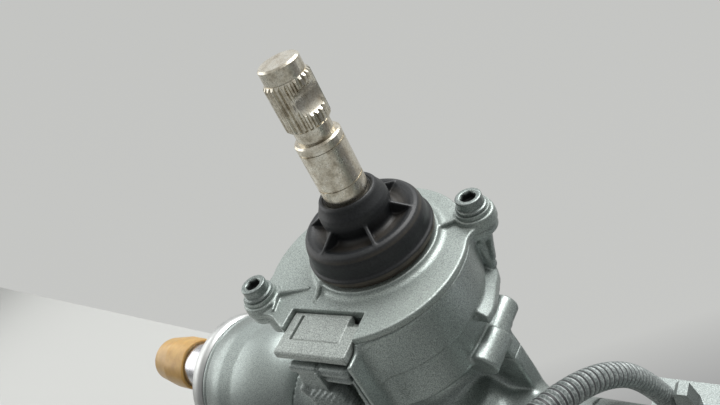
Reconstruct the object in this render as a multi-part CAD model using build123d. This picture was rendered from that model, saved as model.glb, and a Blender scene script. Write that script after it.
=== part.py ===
from build123d import *
from math import acos, atan2, cos, hypot, pi, radians, sin, tan
import os

# Electric power-steering rack: a cast housing with the rack bar, a pinion tower with its torque
# sensor, and a belt-driven ball nut turned by a motor that lies beside the bar.
# The model is drawn in the rack frame: X along the bar, Z up, Y to the rear, with its origin where
# the bar's axis passes the pinion. It is saved about the mouth of the upper mounting hole.

# ---- Driving dimensions (mm, degrees) --------------------------------------------------------
RUN = 0.05                  # radial running clearance of a shaft in its bore
SEAT = 0.05                 # radial clearance of a piece that is fitted by hand

BAR_R = 14.0                # rack bar
BAR_OVERHANG = 71.3         # bar beyond each end of the casting at mid travel
TIE_THREAD_R = 7.0          # tapped hole for the tie rod in each end of the bar
TIE_THREAD_DEPTH = 26.0
LEFT_END = -133.7           # left mouth of the casting
RIGHT_END = 428.0           # right mouth of the casting

MODULE = 2.0                # rack and pinion teeth
PINION_TEETH = 8
PRESSURE_ANGLE = 30.0
ADDENDUM = 1.7
PINION_DEDENDUM = 2.1
RACK_DEDENDUM = 2.0
BACKLASH = 0.24             # at the pitch line, shared by both
RACK_PITCH_Y = 8.0          # pitch line of the bar's teeth behind its axis
TOOTHED_LENGTH = 190.0
LEAN = 6.1                  # pinion axis off square to the bar

TOWER_H = 87.9              # bar axis level to the cover's collar, along the pinion axis
SHAFT_R = 8.25              # input shaft
SHAFT_TOP = 75.3            # heights on the tower are measured from the cover's collar
SPLINE_TOP = 70.1
SPLINE_BOTTOM = 53.3
SPLINE_R = 7.95
SPLINE_TEETH = 24
SPLINE_DEPTH = 0.75
PILOT_R = 6.96
NECK_R = 6.5
SHOULDER_Z = 48.3
BOLT_NOTCH_R = 6.0          # saddle across the spline for the pinch bolt
BOLT_NOTCH_Z = 62.3
BOLT_NOTCH_DEPTH = 2.6
BOLT_NOTCH_AZ = -12.0
SHAFT_FOOT = -43.0          # lower end of the input shaft, inside the pinion
SHAFT_GROOVES = (45.1, 30.4)

BOWL_R = 39.0               # sensor bowl of the casting and its cover
BOWL_X, BOWL_Y = -2.7, -5.25    # the bowl's centre off the pinion axis
BOWL_WALL = 4.5
BOWL_RIM = -4.7             # joint between bowl and cover
BOWL_STEP = -23.5
BOWL_FOOT = -42.0
COVER_TOP = -2.0
COLLAR_R = 26.0
TOWER_R = 26.0              # bearing housing below the bowl

BOOT_LIP_R = 24.1
BOOT_TOP = 24.9
BOOT_WALL = 2.0
BOOT_RIBS = 6
BOOT_RIB_AZ = 17.0          # first rib off the X direction
BOOT_RIB_W = 1.6

COVER_SCREWS = ((32.4, 18.9), (-34.3, -31.3))   # places about the pinion axis
SCREW_R = 2.95              # M6
SCREW_HEAD_R = 4.9
SCREW_HEAD_H = 6.0
SCREW_SOCKET_R = 2.75
SCREW_LENGTH = 16.0
WASHER_R = 6.4
WASHER_T = 1.5
EAR_R = 7.4
EAR_FLANGE = 4.0            # ears of the casting, and the tapered bosses under them
EAR_FOOT_R = 4.0
EAR_BOSS_H = 13.0

PLUG_TURN = 6.3             # sensor connector turned about the pinion axis
PLUG_U0, PLUG_U1 = -20.6, 8.4
PLUG_V0, PLUG_V1 = BOWL_R - 8.0, BOWL_R + 9.4
PLUG_ROOF_TOP = -4.0
PLUG_ROOF_T = 3.6
PLUG_BASE = -32.0

MOUNT_X, MOUNT_Z = 40.0, 43.0       # upper mounting boss, axis along Y
MOUNT_FACE = 28.0                   # rear face of the mounting bosses
MOUNT_DEPTH = 22.0
UPPER_HOLE_R = 3.4                  # M8 tapping size
UPPER_BOSS_R, UPPER_COLLAR_R, UPPER_NECK_R = 5.9, 5.5, 5.2
UPPER_FRONT, UPPER_COLLAR_Y, UPPER_NECK_Y = 0.5, 14.0, 20.5
MOUNT_BOSS_R = 9.6                  # lower and far bosses
MOUNT_HOLE_R = 4.25                 # M10 tapping size
WEB_Y0, WEB_Y1 = 10.5, 17.5         # web that carries the upper boss
STRUT_W, STRUT_DEPTH = 3.2, 5.0     # strut on the bowl's flank, and how far it goes round it
STRUT_AZ = 5.0
STRUT_Z0, STRUT_Z1 = -16.0, -36.0
LOWER_MOUNT_X, LOWER_MOUNT_Z = 40.0, -38.0
FAR_MOUNT_X, FAR_MOUNT_Z = 236.0, 30.0

BARREL_R = 35.5             # left end of the casting and right end of the case cover
BARREL_BORE_R = 29.0
BARREL_LAND = 8.8           # bare machined band for the gaiter
TUBE_R = 18.0
TUBE_BORE_R = 15.2
FLANGE_X = 256.0            # joint between casting and gear case

NUT_X0, NUT_X1 = 268.0, 322.0
NUT_R = 22.0
BELT_PITCH = 5.0
NUT_PULLEY_TEETH = 40
MOTOR_PULLEY_TEETH = 16
BELT_W = 18.0
BELT_T = 2.2
MOTOR_Y, MOTOR_Z = 52.0, -60.0      # motor axis from the bar's axis
MOTOR_R = 41.0
MOTOR_X0 = 150.0
ECU_X0 = 100.0
ECU_HALF_Y, ECU_HALF_Z = 46.0, 42.0
ROTOR_R = 15.0
ROTOR_SHAFT_R = 6.0

YOKE_R = 15.9
YOKE_PLUG_Y = -48.0

CONDUIT_R = 4.5
CAP_T = 1.6                 # caps over the bar's ends
CAP_GRIP = 20.0

PINION_HALF = 13.5          # pinion teeth each side of the bar's axis
NEEDLE_R, NEEDLE_OUT = 7.0, 10.4    # lower needle bearing
NEEDLE_LENGTH = 11.0
NUT_THREAD_R = 5.0          # thread for the nut at the pinion's foot
BALL_BORE_R, BALL_OUT_R = 10.0, 21.0    # ball bearing 20 x 42 x 12 of the pinion
BALL_WIDTH = 12.0
PINION_BALL_R = 3.2
PINION_BALLS = 9
RETAINER_T = 6.0
SLEEVE_R = 12.5             # pinion's sleeve round the foot of the input shaft
SLEEVE_TOP = -33.0
SOCKET_Z = -46.0
TORSION_R, TORSION_END_R = 2.6, 3.35
TORSION_TOP = 20.0
PIN_R = 1.5                 # cross pin of input shaft and torsion bar
PIN_Z = 13.0
STATOR_R = 17.0             # torque sensor
MAGNET_Z0, MAGNET_Z1 = -29.5, -22.0
SENSOR_BORE_R = 18.0

PLUG_BACK_V = BOWL_R - 1.0  # front face of the header, where the plug seats
PLUG_NOSE = 3.0
PLUG_TOP, PLUG_FOOT = -9.0, -25.0
PLUG_FRONT_V = BOWL_R + 10.4
OUTLET_U, OUTLET_V = -3.5, BOWL_R + 10.0    # cable outlet of the plug
OUTLET_R = 6.0
OUTLET_FOOT = -35.0
CHEEK_T = 3.4               # guard beside the plug, on the casting
PAD_BACK_V, PAD_FRONT_V = BOWL_R - 2.0, BOWL_R + 10.8

SEAL_Z0, SEAL_Z1 = -7.5, -1.5       # seal of the input shaft
SEAL_OUT_R = 14.0
BEARING_OUT_R = 12.0        # drawn-cup needle bearing of the input shaft
CUP_Z0, CUP_Z1 = -16.5, -8.0
END_CAP_R = 13.0            # threaded cap under the pinion
END_CAP_T = 6.0

YOKE_BACK = -34.0
YOKE_LINER_T = 0.8
YOKE_POCKET_R = 11.0
YOKE_POCKET = 9.0
YOKE_PLUG_T = 9.0

BUSH_LENGTH = 18.0          # plastic bush of the bar, and the stop ring before it
BUSH_T = 3.0
STOP_T = 6.0
MOUTH_DEPTH = 34.0
SHOULDER_R = 33.6           # castings behind their barrels
WAIST_R = 23.0              # casting round the bar at the pinion
WAIST_X0, WAIST_X1 = -46.0, 34.0

CASE_MOTOR_R = 34.0         # gear case round the motor's pulley
CASE_WALL = 4.0
CASE_X1 = 326.0
COVER_PLATE = 8.0
CASE_BOLT_R = 3.2
LUG_R = 7.0
FLANGE_T = 8.0
NUT_BEARING_H = 15.0        # nut's bearing, from its bore to its outside
NUT_BEARING_WALL = 3.0      # carrier ring round the nut's bearing
NUT_BEARING_W = 14.0
NUT_BALL_R = 3.4
NUT_BALLS = 14
MOTOR_WALL = 3.0
SLOT_R, SLOT_OUT = 4.5, 9.0 # winding slots, and how far their middles lie outside the rotor
MOTOR_BEARING_R = 11.0
MOTOR_BEARING_T = 8.0
ECU_WALL = 3.0
ECU_COVER_T = 4.0

HEADER_X0 = 80.0            # socket of the harness on the control unit
HEADER_Y0, HEADER_Y1 = 38.0, 58.0
HEADER_TOP = -52.0
HEADER_FOOT = -74.0
SHELF_TOP = -36.0           # plug in that socket, whose shelf takes the conduit
TONGUE_X0, TONGUE_X1 = 82.6, 90.0   # release tongue on top of the plug
TONGUE_Y0, TONGUE_Y1 = 39.0, 45.0
TONGUE_TOP = -18.0
STATOR_REAR, STATOR_FRONT = 24.0, 22.0  # motor core from the can's ends, and its winding heads
WINDING_HEAD = 6.0

# ---- Worked out from them --------------------------------------------------------------------
PITCH_R = MODULE * PINION_TEETH / 2
PINION_Y = RACK_PITCH_Y + PITCH_R
BAR_X0 = LEFT_END - BAR_OVERHANG
BAR_X1 = RIGHT_END + BAR_OVERHANG
ORIGIN = Vector(MOUNT_X, MOUNT_FACE, MOUNT_Z)
AXIS_X, AXIS_Z = sin(radians(LEAN)), cos(radians(LEAN))
TOWER = Plane(origin=(TOWER_H * AXIS_X, PINION_Y, TOWER_H * AXIS_Z),
              x_dir=(AXIS_Z, 0, -AXIS_X), z_dir=(AXIS_X, 0, AXIS_Z))
BAR_MESH = Plane(origin=(0, 0, 0), x_dir=(AXIS_Z, 0, -AXIS_X), z_dir=(AXIS_X, 0, AXIS_Z))
NUT_PULLEY_R = NUT_PULLEY_TEETH * BELT_PITCH / (2 * pi)
MOTOR_PULLEY_R = MOTOR_PULLEY_TEETH * BELT_PITCH / (2 * pi)
BELT_MID_X = NUT_X0 + 3 + BELT_W / 2
PINION_Z0, PINION_Z1 = -TOWER_H - PINION_HALF, -TOWER_H + PINION_HALF
NEEDLE_Z0, NEEDLE_Z1 = PINION_Z0 - 1 - NEEDLE_LENGTH, PINION_Z0 - 1
PINION_FOOT = NEEDLE_Z0 - 9.0
BALL_Z0 = PINION_Z1 + 6.4
BALL_Z1 = BALL_Z0 + BALL_WIDTH
RETAINER_Z = BALL_Z1 + RETAINER_T
TORSION_FOOT = BALL_Z0 + 4.0
PINION_BALL_PITCH_R = (BALL_BORE_R + BALL_OUT_R) / 2
END_CAP_TOP = PINION_FOOT - 1.0
END_CAP_FOOT = END_CAP_TOP - END_CAP_T
YOKE_BORE_R = YOKE_R + RUN
BUSH_R = BAR_R + BUSH_T
LEFT_FLOOR = LEFT_END + MOUTH_DEPTH
RIGHT_FLOOR = RIGHT_END - MOUTH_DEPTH
CASE_BOLT_X0 = FLANGE_X - FLANGE_T
MOTOR_X1 = FLANGE_X - FLANGE_T
NUT_BEARING_R = NUT_R + NUT_BEARING_H
CASE_R = NUT_BEARING_R + NUT_BEARING_WALL + CASE_WALL
NUT_BEARING_X0 = NUT_X0 + 3 + BELT_W + 5
NUT_BEARING_X1 = NUT_BEARING_X0 + NUT_BEARING_W
NUT_BALL_PITCH_R = (NUT_R + NUT_BEARING_R) / 2
HEADER_X1 = ECU_X0


# ---- Shape helpers ---------------------------------------------------------------------------
def outline(points, rounds=None):
    """Face in the XZ plane; rounds gives {corner point: radius} for its rounded corners."""
    face = make_face(Polyline(*[(a, 0, b) for a, b in points], close=True)).face()
    for (a, b), radius in (rounds or {}).items():
        corner = face.vertices().sort_by_distance((a, 0, b))[0]
        face = face.fillet_2d(radius, [corner])
    return face


def turned_x(points, rounds=None, y=0.0, z=0.0):
    """Solid turned about a line along X, from (x, radius) points."""
    return Pos(0, y, z) * revolve(outline(points, rounds), Axis.X)


def turned_z(points, rounds=None):
    """Solid turned about Z, from (radius, z) points."""
    return revolve(outline(points, rounds), Axis.Z)


def rod_x(radius, x0, x1, y=0.0, z=0.0):
    return Pos((x0 + x1) / 2, y, z) * Rot(0, 90, 0) * Cylinder(radius, abs(x1 - x0))


def rod_y(radius, y0, y1, x=0.0, z=0.0):
    return Pos(x, (y0 + y1) / 2, z) * Rot(90, 0, 0) * Cylinder(radius, abs(y1 - y0))


def rod_z(radius, z0, z1, x=0.0, y=0.0):
    return Pos(x, y, (z0 + z1) / 2) * Cylinder(radius, abs(z1 - z0))


def block(x0, x1, y0, y1, z0, z1):
    size = (x1 - x0, y1 - y0, z1 - z0)
    return Pos((x0 + x1) / 2, (y0 + y1) / 2, (z0 + z1) / 2) * Box(*size)


def ring_x(outer, inner, x0, x1, y=0.0, z=0.0):
    return rod_x(outer, x0, x1, y, z) - rod_x(inner, x0 - 1, x1 + 1, y, z)


def ring_y(outer, inner, y0, y1, x=0.0, z=0.0):
    return rod_y(outer, y0, y1, x, z) - rod_y(inner, y0 - 1, y1 + 1, x, z)


def ring_z(outer, inner, z0, z1, x=0.0, y=0.0):
    return rod_z(outer, z0, z1, x, y) - rod_z(inner, z0 - 1, z1 + 1, x, y)


def prism(points, depth, plane):
    """Straight prism raised from points drawn on a plane."""
    return extrude(plane * make_face(Polyline(*points, close=True)), depth)


def belt_hull(r_nut, r_motor):
    """Outline around the bar and the motor axis, drawn in the YZ plane."""
    reach = hypot(MOTOR_Y, MOTOR_Z)
    turn = acos((r_nut - r_motor) / reach)
    aim = Vector(MOTOR_Y, MOTOR_Z, 0) / reach
    side = Vector(-aim.Y, aim.X, 0)
    corners = []
    for sign in (1, -1):
        normal = aim * cos(turn) + side * (sin(turn) * sign)
        corners.append((normal * r_nut, aim * reach + normal * r_motor))
    nut_back = aim * -r_nut
    motor_far = aim * (reach + r_motor)
    (a0, b0), (a1, b1) = corners
    edges = [ThreePointArc(a1, nut_back, a0), Line(a0, b0),
             ThreePointArc(b0, motor_far, b1), Line(b1, a1)]
    return make_face(edges)


def hull_slab(r_nut, r_motor, x0, x1):
    """Slab of the belt hull between two places along the bar."""
    plane = Plane(origin=(x0, 0, 0), x_dir=(0, 1, 0), z_dir=(1, 0, 0))
    return extrude(plane * belt_hull(r_nut, r_motor), x1 - x0)


def at_mouth(u, v, z):
    """Point of the sensor connector: u across it, v outwards, on the tower."""
    turn = radians(PLUG_TURN)
    return (u * cos(turn) + v * sin(turn), u * sin(turn) - v * cos(turn), z)


PLUG = Plane(origin=(0, 0, 0), x_dir=at_mouth(1, 0, 0), z_dir=(0, 0, 1))


def plug_block(u0, u1, v0, v1, z0, z1):
    """Block of the sensor connector, from its own u, v and tower heights."""
    return PLUG * block(u0, u1, -v1, -v0, z0, z1)


def side_slab(points, u0, u1):
    """Slab across the connector, from its side view's (-v, z) points."""
    section = make_face(Polyline(*[(u0, v, z) for v, z in points], close=True)).face()
    return extrude(section, u1 - u0, dir=(1, 0, 0))


# ---- Rack bar and its caps -------------------------------------------------------------------
def rack_bar():
    bar = turned_x([(BAR_X0, 0), (BAR_X0, BAR_R - 1.2), (BAR_X0 + 1.2, BAR_R),
                    (BAR_X1 - 1.2, BAR_R), (BAR_X1, BAR_R - 1.2), (BAR_X1, 0)])
    bar -= rod_x(TIE_THREAD_R, BAR_X0 - 1, BAR_X0 + TIE_THREAD_DEPTH)
    bar -= rod_x(TIE_THREAD_R, BAR_X1 - TIE_THREAD_DEPTH, BAR_X1 + 1)
    tip = RACK_PITCH_Y + ADDENDUM
    half = TOOTHED_LENGTH / 2
    run_out = BAR_R - tip
    flat = prism([(-half, tip), (half, tip), (half + run_out, BAR_R + 1),
                  (-half - run_out, BAR_R + 1)], 2 * BAR_R, Plane(origin=(0, 0, -BAR_R)))
    bar -= flat
    pitch = pi * MODULE
    slope = tan(radians(PRESSURE_ANGLE))
    open_half = pitch / 4 + BACKLASH / 4
    root_half = open_half - RACK_DEDENDUM * slope
    over = ADDENDUM + 0.5
    mouth_half = open_half + over * slope
    count = int((half - pitch) * AXIS_Z / pitch)
    # the gaps run parallel to the pinion's axis and step along the bar
    gap = BAR_MESH * prism([(-root_half, RACK_PITCH_Y - RACK_DEDENDUM),
                            (root_half, RACK_PITCH_Y - RACK_DEDENDUM),
                            (mouth_half, RACK_PITCH_Y + over), (-mouth_half, RACK_PITCH_Y + over)],
                           2.6 * BAR_R, Plane(origin=(0, 0, -1.3 * BAR_R)))
    return bar - [Pos(k * pitch / AXIS_Z, 0, 0) * gap for k in range(-count, count + 1)]


def bar_cap(end, direction):
    """Plastic cap pressed over the bar's end for transport, softly tapered at its tip."""
    inner = BAR_R + SEAT
    outer = inner + CAP_T
    tip = end + direction * 16.0
    points = [(end - direction * CAP_GRIP, inner), (end - direction * CAP_GRIP, outer),
              (tip - direction * 13.0, outer), (tip - direction * 7.0, outer - 2.0),
              (tip, outer - 8.5), (tip, 0), (end, 0), (end, inner)]
    rounds = {points[2]: 4.0, points[3]: 6.0, points[4]: 4.0}
    return turned_x(points, rounds)


# ---- Pinion, input shaft and torque sensor -----------------------------------------------------
def gear_tooth_half(radius, thickness, base):
    """Half angle of an involute tooth at a radius."""
    def inv(r):
        angle = acos(min(1.0, base / r))
        return tan(angle) - angle
    return thickness / (2 * PITCH_R) + inv(PITCH_R) - inv(max(radius, base))


def pinion_outline():
    base = PITCH_R * cos(radians(PRESSURE_ANGLE))
    tip = PITCH_R + ADDENDUM
    root = PITCH_R - PINION_DEDENDUM
    thickness = pi * MODULE / 2 - BACKLASH / 2
    radii = [base + (tip - base) * k / 5 for k in range(6)]
    points = []
    for tooth in range(PINION_TEETH):
        middle = -pi / 2 + tooth * 2 * pi / PINION_TEETH
        flank = [(root, -gear_tooth_half(base, thickness, base))]
        flank += [(r, -gear_tooth_half(r, thickness, base)) for r in radii]
        flank += [(r, -a) for r, a in reversed(flank)]
        points += [(r * cos(middle + a), r * sin(middle + a)) for r, a in flank]
    return points


def pinion_shaft():
    body = turned_z([(0, PINION_FOOT), (NUT_THREAD_R, PINION_FOOT), (NUT_THREAD_R, NEEDLE_Z0),
                     (NEEDLE_R, NEEDLE_Z0), (NEEDLE_R, PINION_Z0 + 0.1), (0, PINION_Z0 + 0.1)])
    body += prism(pinion_outline(), PINION_Z1 - PINION_Z0, Plane(origin=(0, 0, PINION_Z0)))
    body += turned_z([(0, PINION_Z1 - 0.1), (NEEDLE_R + 0.6, PINION_Z1 - 0.1),
                      (BALL_BORE_R, BALL_Z0), (BALL_BORE_R, BALL_Z1), (SLEEVE_R, BALL_Z1),
                      (SLEEVE_R, SLEEVE_TOP), (0, SLEEVE_TOP)])
    body -= rod_z(SHAFT_R + RUN, SOCKET_Z, SLEEVE_TOP + 1)
    body -= rod_z(TORSION_END_R + RUN, TORSION_FOOT - 0.5, SOCKET_Z + 1)
    return TOWER * body


def input_shaft():
    """Turned steel shaft: pilot, spline, neck and ground barrel, bored for the torsion bar."""
    z = SPLINE_TOP
    points = [(0, SHAFT_FOOT), (SHAFT_R, SHAFT_FOOT), (SHAFT_R, SHOULDER_Z - 0.6),
              (SHAFT_R - 0.6, SHOULDER_Z), (NECK_R, SHOULDER_Z), (NECK_R, SPLINE_BOTTOM),
              (PILOT_R, SPLINE_BOTTOM + 0.5), (PILOT_R, SHAFT_TOP - 0.6),
              (PILOT_R - 0.6, SHAFT_TOP), (0, SHAFT_TOP)]
    shaft = turned_z(points)
    rim = []
    for k in range(SPLINE_TEETH):
        for share, radius in ((-0.34, SPLINE_R - SPLINE_DEPTH), (-0.14, SPLINE_R),
                              (0.14, SPLINE_R), (0.34, SPLINE_R - SPLINE_DEPTH)):
            angle = 2 * pi * (k + share) / SPLINE_TEETH
            rim.append((radius * cos(angle), radius * sin(angle)))
    spline = prism(rim, z - SPLINE_BOTTOM, Plane(origin=(0, 0, SPLINE_BOTTOM)))
    bevel = turned_z([(0, SPLINE_BOTTOM), (SPLINE_R - SPLINE_DEPTH, SPLINE_BOTTOM),
                      (SPLINE_R, SPLINE_BOTTOM + 0.9), (SPLINE_R, z - 0.9),
                      (SPLINE_R - SPLINE_DEPTH, z), (0, z)])
    shaft += spline & bevel
    for groove in SHAFT_GROOVES:
        shaft -= ring_z(SHAFT_R + 1, SHAFT_R - 0.3, groove - 0.3, groove + 0.3)
    reach = SPLINE_R - BOLT_NOTCH_DEPTH + BOLT_NOTCH_R
    notch = Pos(reach, 0, BOLT_NOTCH_Z) * Rot(90, 0, 0) * Cylinder(BOLT_NOTCH_R, 4 * SPLINE_R)
    shaft -= Rot(0, 0, BOLT_NOTCH_AZ) * notch
    shaft -= rod_z(TORSION_END_R + SEAT, SHAFT_FOOT - 1, TORSION_TOP + 0.5)
    shaft -= pin_hole()
    return TOWER * shaft


def pin_hole():
    return Pos(0, 0, PIN_Z) * Rot(90, 0, 0) * Cylinder(PIN_R, 4 * SHAFT_R)


def torsion_bar():
    bar = turned_z([(0, TORSION_FOOT), (TORSION_END_R, TORSION_FOOT),
                    (TORSION_END_R, TORSION_FOOT + 14), (TORSION_R, TORSION_FOOT + 17),
                    (TORSION_R, PIN_Z - 12), (TORSION_END_R, PIN_Z - 9),
                    (TORSION_END_R, TORSION_TOP), (0, TORSION_TOP)])
    return TOWER * (bar - pin_hole())


def torsion_pin():
    length = 2 * SHAFT_R - 1.0
    return TOWER * Pos(0, 0, PIN_Z) * Rot(90, 0, 0) * Cylinder(PIN_R - 0.01, length)


def magnet_ring():
    return TOWER * ring_z(STATOR_R - 4.0, SHAFT_R + SEAT, MAGNET_Z0, MAGNET_Z1)


def sensor_stator():
    """Claw ring pressed on the pinion sleeve; its skirt stands round the magnet ring."""
    hub = ring_z(STATOR_R, SLEEVE_R + SEAT, SLEEVE_TOP - 5, SLEEVE_TOP)
    skirt = ring_z(STATOR_R, STATOR_R - 3.2, SLEEVE_TOP - 0.5, MAGNET_Z1 + 1)
    slots = [Rot(0, 0, 45 * k) * block(0, 2 * STATOR_R, -1.5, 1.5, MAGNET_Z0, 0) for k in range(8)]
    return TOWER * (hub + (skirt - slots))


def torque_sensor():
    """Moulded sensor carrier that fills the bowl, with a flat for the connector."""
    body = rod_z(BOWL_R - BOWL_WALL - 0.8, BOWL_FOOT + 7, BOWL_RIM - 5, BOWL_X, BOWL_Y)
    body -= rod_z(SENSOR_BORE_R, BOWL_FOOT, 0)
    body -= plug_block(PLUG_U0 - 1, PLUG_U1 + 1, PLUG_V0 + 1, PLUG_V1, BOWL_FOOT, 0)
    return TOWER * body


def sensor_connector():
    """Header of the sensor: roof with a framed raised panel over a block with the pin socket."""
    roof_z = PLUG_ROOF_TOP - PLUG_ROOF_T
    roof = plug_block(PLUG_U0, PLUG_U1, PLUG_V0, PLUG_V1, roof_z, PLUG_ROOF_TOP)
    panel_u0, panel_u1 = PLUG_U0 + 4.9, PLUG_U1 - 5.0
    panel_v0, panel_v1 = PLUG_V0 + 1.4, PLUG_V0 + 11.4
    roof -= plug_block(panel_u0 - 1.3, panel_u0, panel_v0, panel_v1, roof_z + 1, 0)
    roof -= plug_block(panel_u1, PLUG_U1 + 1, PLUG_V0 - 1, PLUG_V0 + 4.4, roof_z + 1, 0)
    roof += plug_block(panel_u0, panel_u1, panel_v0, panel_v1, roof_z, PLUG_ROOF_TOP + 0.5)
    body = plug_block(PLUG_U0 + 2.5, PLUG_U1 - 1.5, PLUG_V0 + 1, PLUG_BACK_V, PLUG_BASE + 2,
                      roof_z + 0.1)
    nose = (PLUG_U0 + 5, PLUG_U1 - 4)
    body -= plug_block(nose[0] - SEAT, nose[1] + SEAT, PLUG_BACK_V - PLUG_NOSE - 0.5,
                       PLUG_BACK_V + 1, PLUG_FOOT + 3 - SEAT, PLUG_TOP - 3 + SEAT)
    pins = [rod_y(0.6, -PLUG_BACK_V + 0.8, -PLUG_V0 - 2, nose[0] + 3 + 3.2 * k, -16)
            for k in range(5)]
    return TOWER * (roof + body + [PLUG * pin for pin in pins])


def harness_plug():
    """Plug on the sensor end of the harness: rounded ledge, sloping web and cable outlet."""
    u0, u1 = PLUG_U0 + 3.4, PLUG_U1 - 1.6
    back = -PLUG_BACK_V - SEAT
    front = -PLUG_FRONT_V
    body = side_slab([(back, PLUG_TOP), (front, PLUG_TOP), (front, PLUG_TOP - 4.3),
                      (front + 2.8, PLUG_TOP - 5.2), (front + 2.8, PLUG_FOOT),
                      (back, PLUG_FOOT)], u0, u1)
    ledge = body.edges().filter_by(Axis.X).group_by(Axis.Z)[-1].sort_by(Axis.Y)[0]
    body = fillet(ledge, 1.6)
    web_front = -OUTLET_V - OUTLET_R + 1.2
    web = side_slab([(front + 3, PLUG_TOP - 4), (front + 0.4, PLUG_TOP - 4),
                     (web_front, PLUG_FOOT + 1), (web_front, PLUG_FOOT - 2),
                     (front + 3, PLUG_FOOT - 2)], OUTLET_U - 4.6, OUTLET_U + 4.6)
    nose = block(PLUG_U0 + 5, PLUG_U1 - 4, -PLUG_BACK_V - 1, -PLUG_BACK_V + PLUG_NOSE - 0.8,
                 PLUG_FOOT + 3, PLUG_TOP - 3)
    nose -= [rod_y(0.9, -PLUG_BACK_V - 0.5, -PLUG_BACK_V + 5, PLUG_U0 + 8 + 3.2 * k, -16)
             for k in range(5)]
    outlet = rod_z(OUTLET_R, OUTLET_FOOT, PLUG_FOOT + 2, OUTLET_U, -OUTLET_V)
    plug = body + web + nose + outlet
    plug -= rod_z(CONDUIT_R + SEAT, OUTLET_FOOT - 1, OUTLET_FOOT + 6, OUTLET_U, -OUTLET_V)
    return TOWER * PLUG * plug


# ---- Boot, seal, cover and its screws ----------------------------------------------------------
def dust_boot():
    """Rubber boot on the collar: lip, outer wall, rim, six ribs, neck and wiper on the shaft."""
    t = BOOT_WALL
    inner = SHAFT_R + RUN
    outer = [(inner, BOOT_TOP), (9.6, BOOT_TOP), (10.6, BOOT_TOP - 1.3), (11.0, BOOT_TOP - 3.1),
             (12.2, BOOT_TOP - 4.1), (12.9, BOOT_TOP - 5.9), (12.9, BOOT_TOP - 8.3),
             (12.0, BOOT_TOP - 9.6), (11.2, BOOT_TOP - 10.3), (11.2, 11.2), (13.0, 10.4),
             (18.4, 11.8), (20.4, 14.4), (22.9, 12.6), (22.9, 5.4), (BOOT_LIP_R, 4.6),
             (BOOT_LIP_R, 2.4), (BOOT_LIP_R - 1.4, 2.2), (BOOT_LIP_R - 1.4, 0)]
    under = [(22.9 - t, 0), (22.9 - t, 11.4), (20.4, 14.4 - t - 0.3), (18.8, 11.8 - t),
             (13.0, 10.4 - t), (inner + 1.0, 10.4 - t), (inner + 1.0, BOOT_TOP - 2.4),
             (inner, BOOT_TOP - 2.0)]
    rounds = {(20.4, 14.4): 2.0, (22.9, 12.6): 1.5, (12.9, BOOT_TOP - 5.9): 0.8}
    boot = turned_z(outer + under, rounds)
    rib = prism([(12.0, 9.0), (20.0, 13.0), (19.4, 14.0), (12.4, BOOT_TOP - 8.0),
                 (11.4, BOOT_TOP - 8.0)], BOOT_RIB_W,
                Plane(origin=(0, BOOT_RIB_W / 2, 0), x_dir=(1, 0, 0), z_dir=(0, -1, 0)))
    for k in range(BOOT_RIBS):
        boot += Rot(0, 0, BOOT_RIB_AZ + 360 * k / BOOT_RIBS) * rib
    return TOWER * boot


def shaft_seal():
    seal = turned_z([(SHAFT_R + RUN, SEAL_Z0 + 2.0), (SHAFT_R + 1.2, SEAL_Z0),
                     (SEAL_OUT_R, SEAL_Z0), (SEAL_OUT_R, SEAL_Z1), (SHAFT_R + RUN, SEAL_Z1)])
    return TOWER * seal


def bowl_blank(z0, z1, radius):
    return rod_z(radius, z0, z1, BOWL_X, BOWL_Y)


def ear_blank(x, y, z0, z1, radius):
    """Screw boss with webs that run back to the bowl."""
    reach = hypot(x - BOWL_X, y - BOWL_Y)
    web = prism([(0, -radius), (reach, -radius), (reach, radius), (0, radius)], z1 - z0,
                Plane(origin=(BOWL_X, BOWL_Y, z0), x_dir=(x - BOWL_X, y - BOWL_Y, 0),
                      z_dir=(0, 0, 1)))
    return rod_z(radius, z0, z1, x, y) + web


def connector_notch(z0, z1, spare):
    return plug_block(PLUG_U0 - spare, PLUG_U1 + spare, PLUG_V0 - spare, PLUG_V1 + 20, z0, z1)


def sensor_cover():
    """Cast cover: plate with a raised collar, two screw ears, ribs and the connector's notch."""
    plate = bowl_blank(BOWL_RIM, COVER_TOP, BOWL_R)
    top = plate.faces().sort_by(Axis.Z)[-1].edges()
    plate = chamfer(top, 1.3)
    collar = turned_z([(0, BOWL_RIM), (COLLAR_R + 3.0, BOWL_RIM), (COLLAR_R + 1.6, COVER_TOP),
                       (COLLAR_R, COVER_TOP + 1.0), (COLLAR_R - 0.8, 0), (0, 0)],
                      {(COLLAR_R, COVER_TOP + 1.0): 0.8})
    cover = plate + collar
    for x, y in COVER_SCREWS:
        cover += ear_blank(x, y, BOWL_RIM, COVER_TOP, EAR_R - 1.0)
        cover += rod_z(EAR_R, BOWL_RIM, 0, x, y)
    spigot = ring_z(BOWL_R - BOWL_WALL - SEAT, BOWL_R - BOWL_WALL - 3, BOWL_RIM - 2.0,
                    BOWL_RIM + 0.1, BOWL_X, BOWL_Y)
    cover += spigot
    cover += rod_z(SEAL_OUT_R + 2.4, CUP_Z0, BOWL_RIM + 0.1)
    cover -= connector_notch(-40, 1, SEAT + 0.4)
    cover -= rod_z(SHAFT_R + 1.0, -40, 2)
    cover -= rod_z(SEAL_OUT_R + 0.01, SEAL_Z0, 2)
    cover -= rod_z(BEARING_OUT_R + 0.01, -40, SEAL_Z0 - 0.5)
    for x, y in COVER_SCREWS:
        cover -= rod_z(SCREW_R + 0.3, -40, 2, x, y)
    return TOWER * cover


def needle_cup():
    return TOWER * ring_z(BEARING_OUT_R, SHAFT_R + RUN, CUP_Z0, CUP_Z1)


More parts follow.
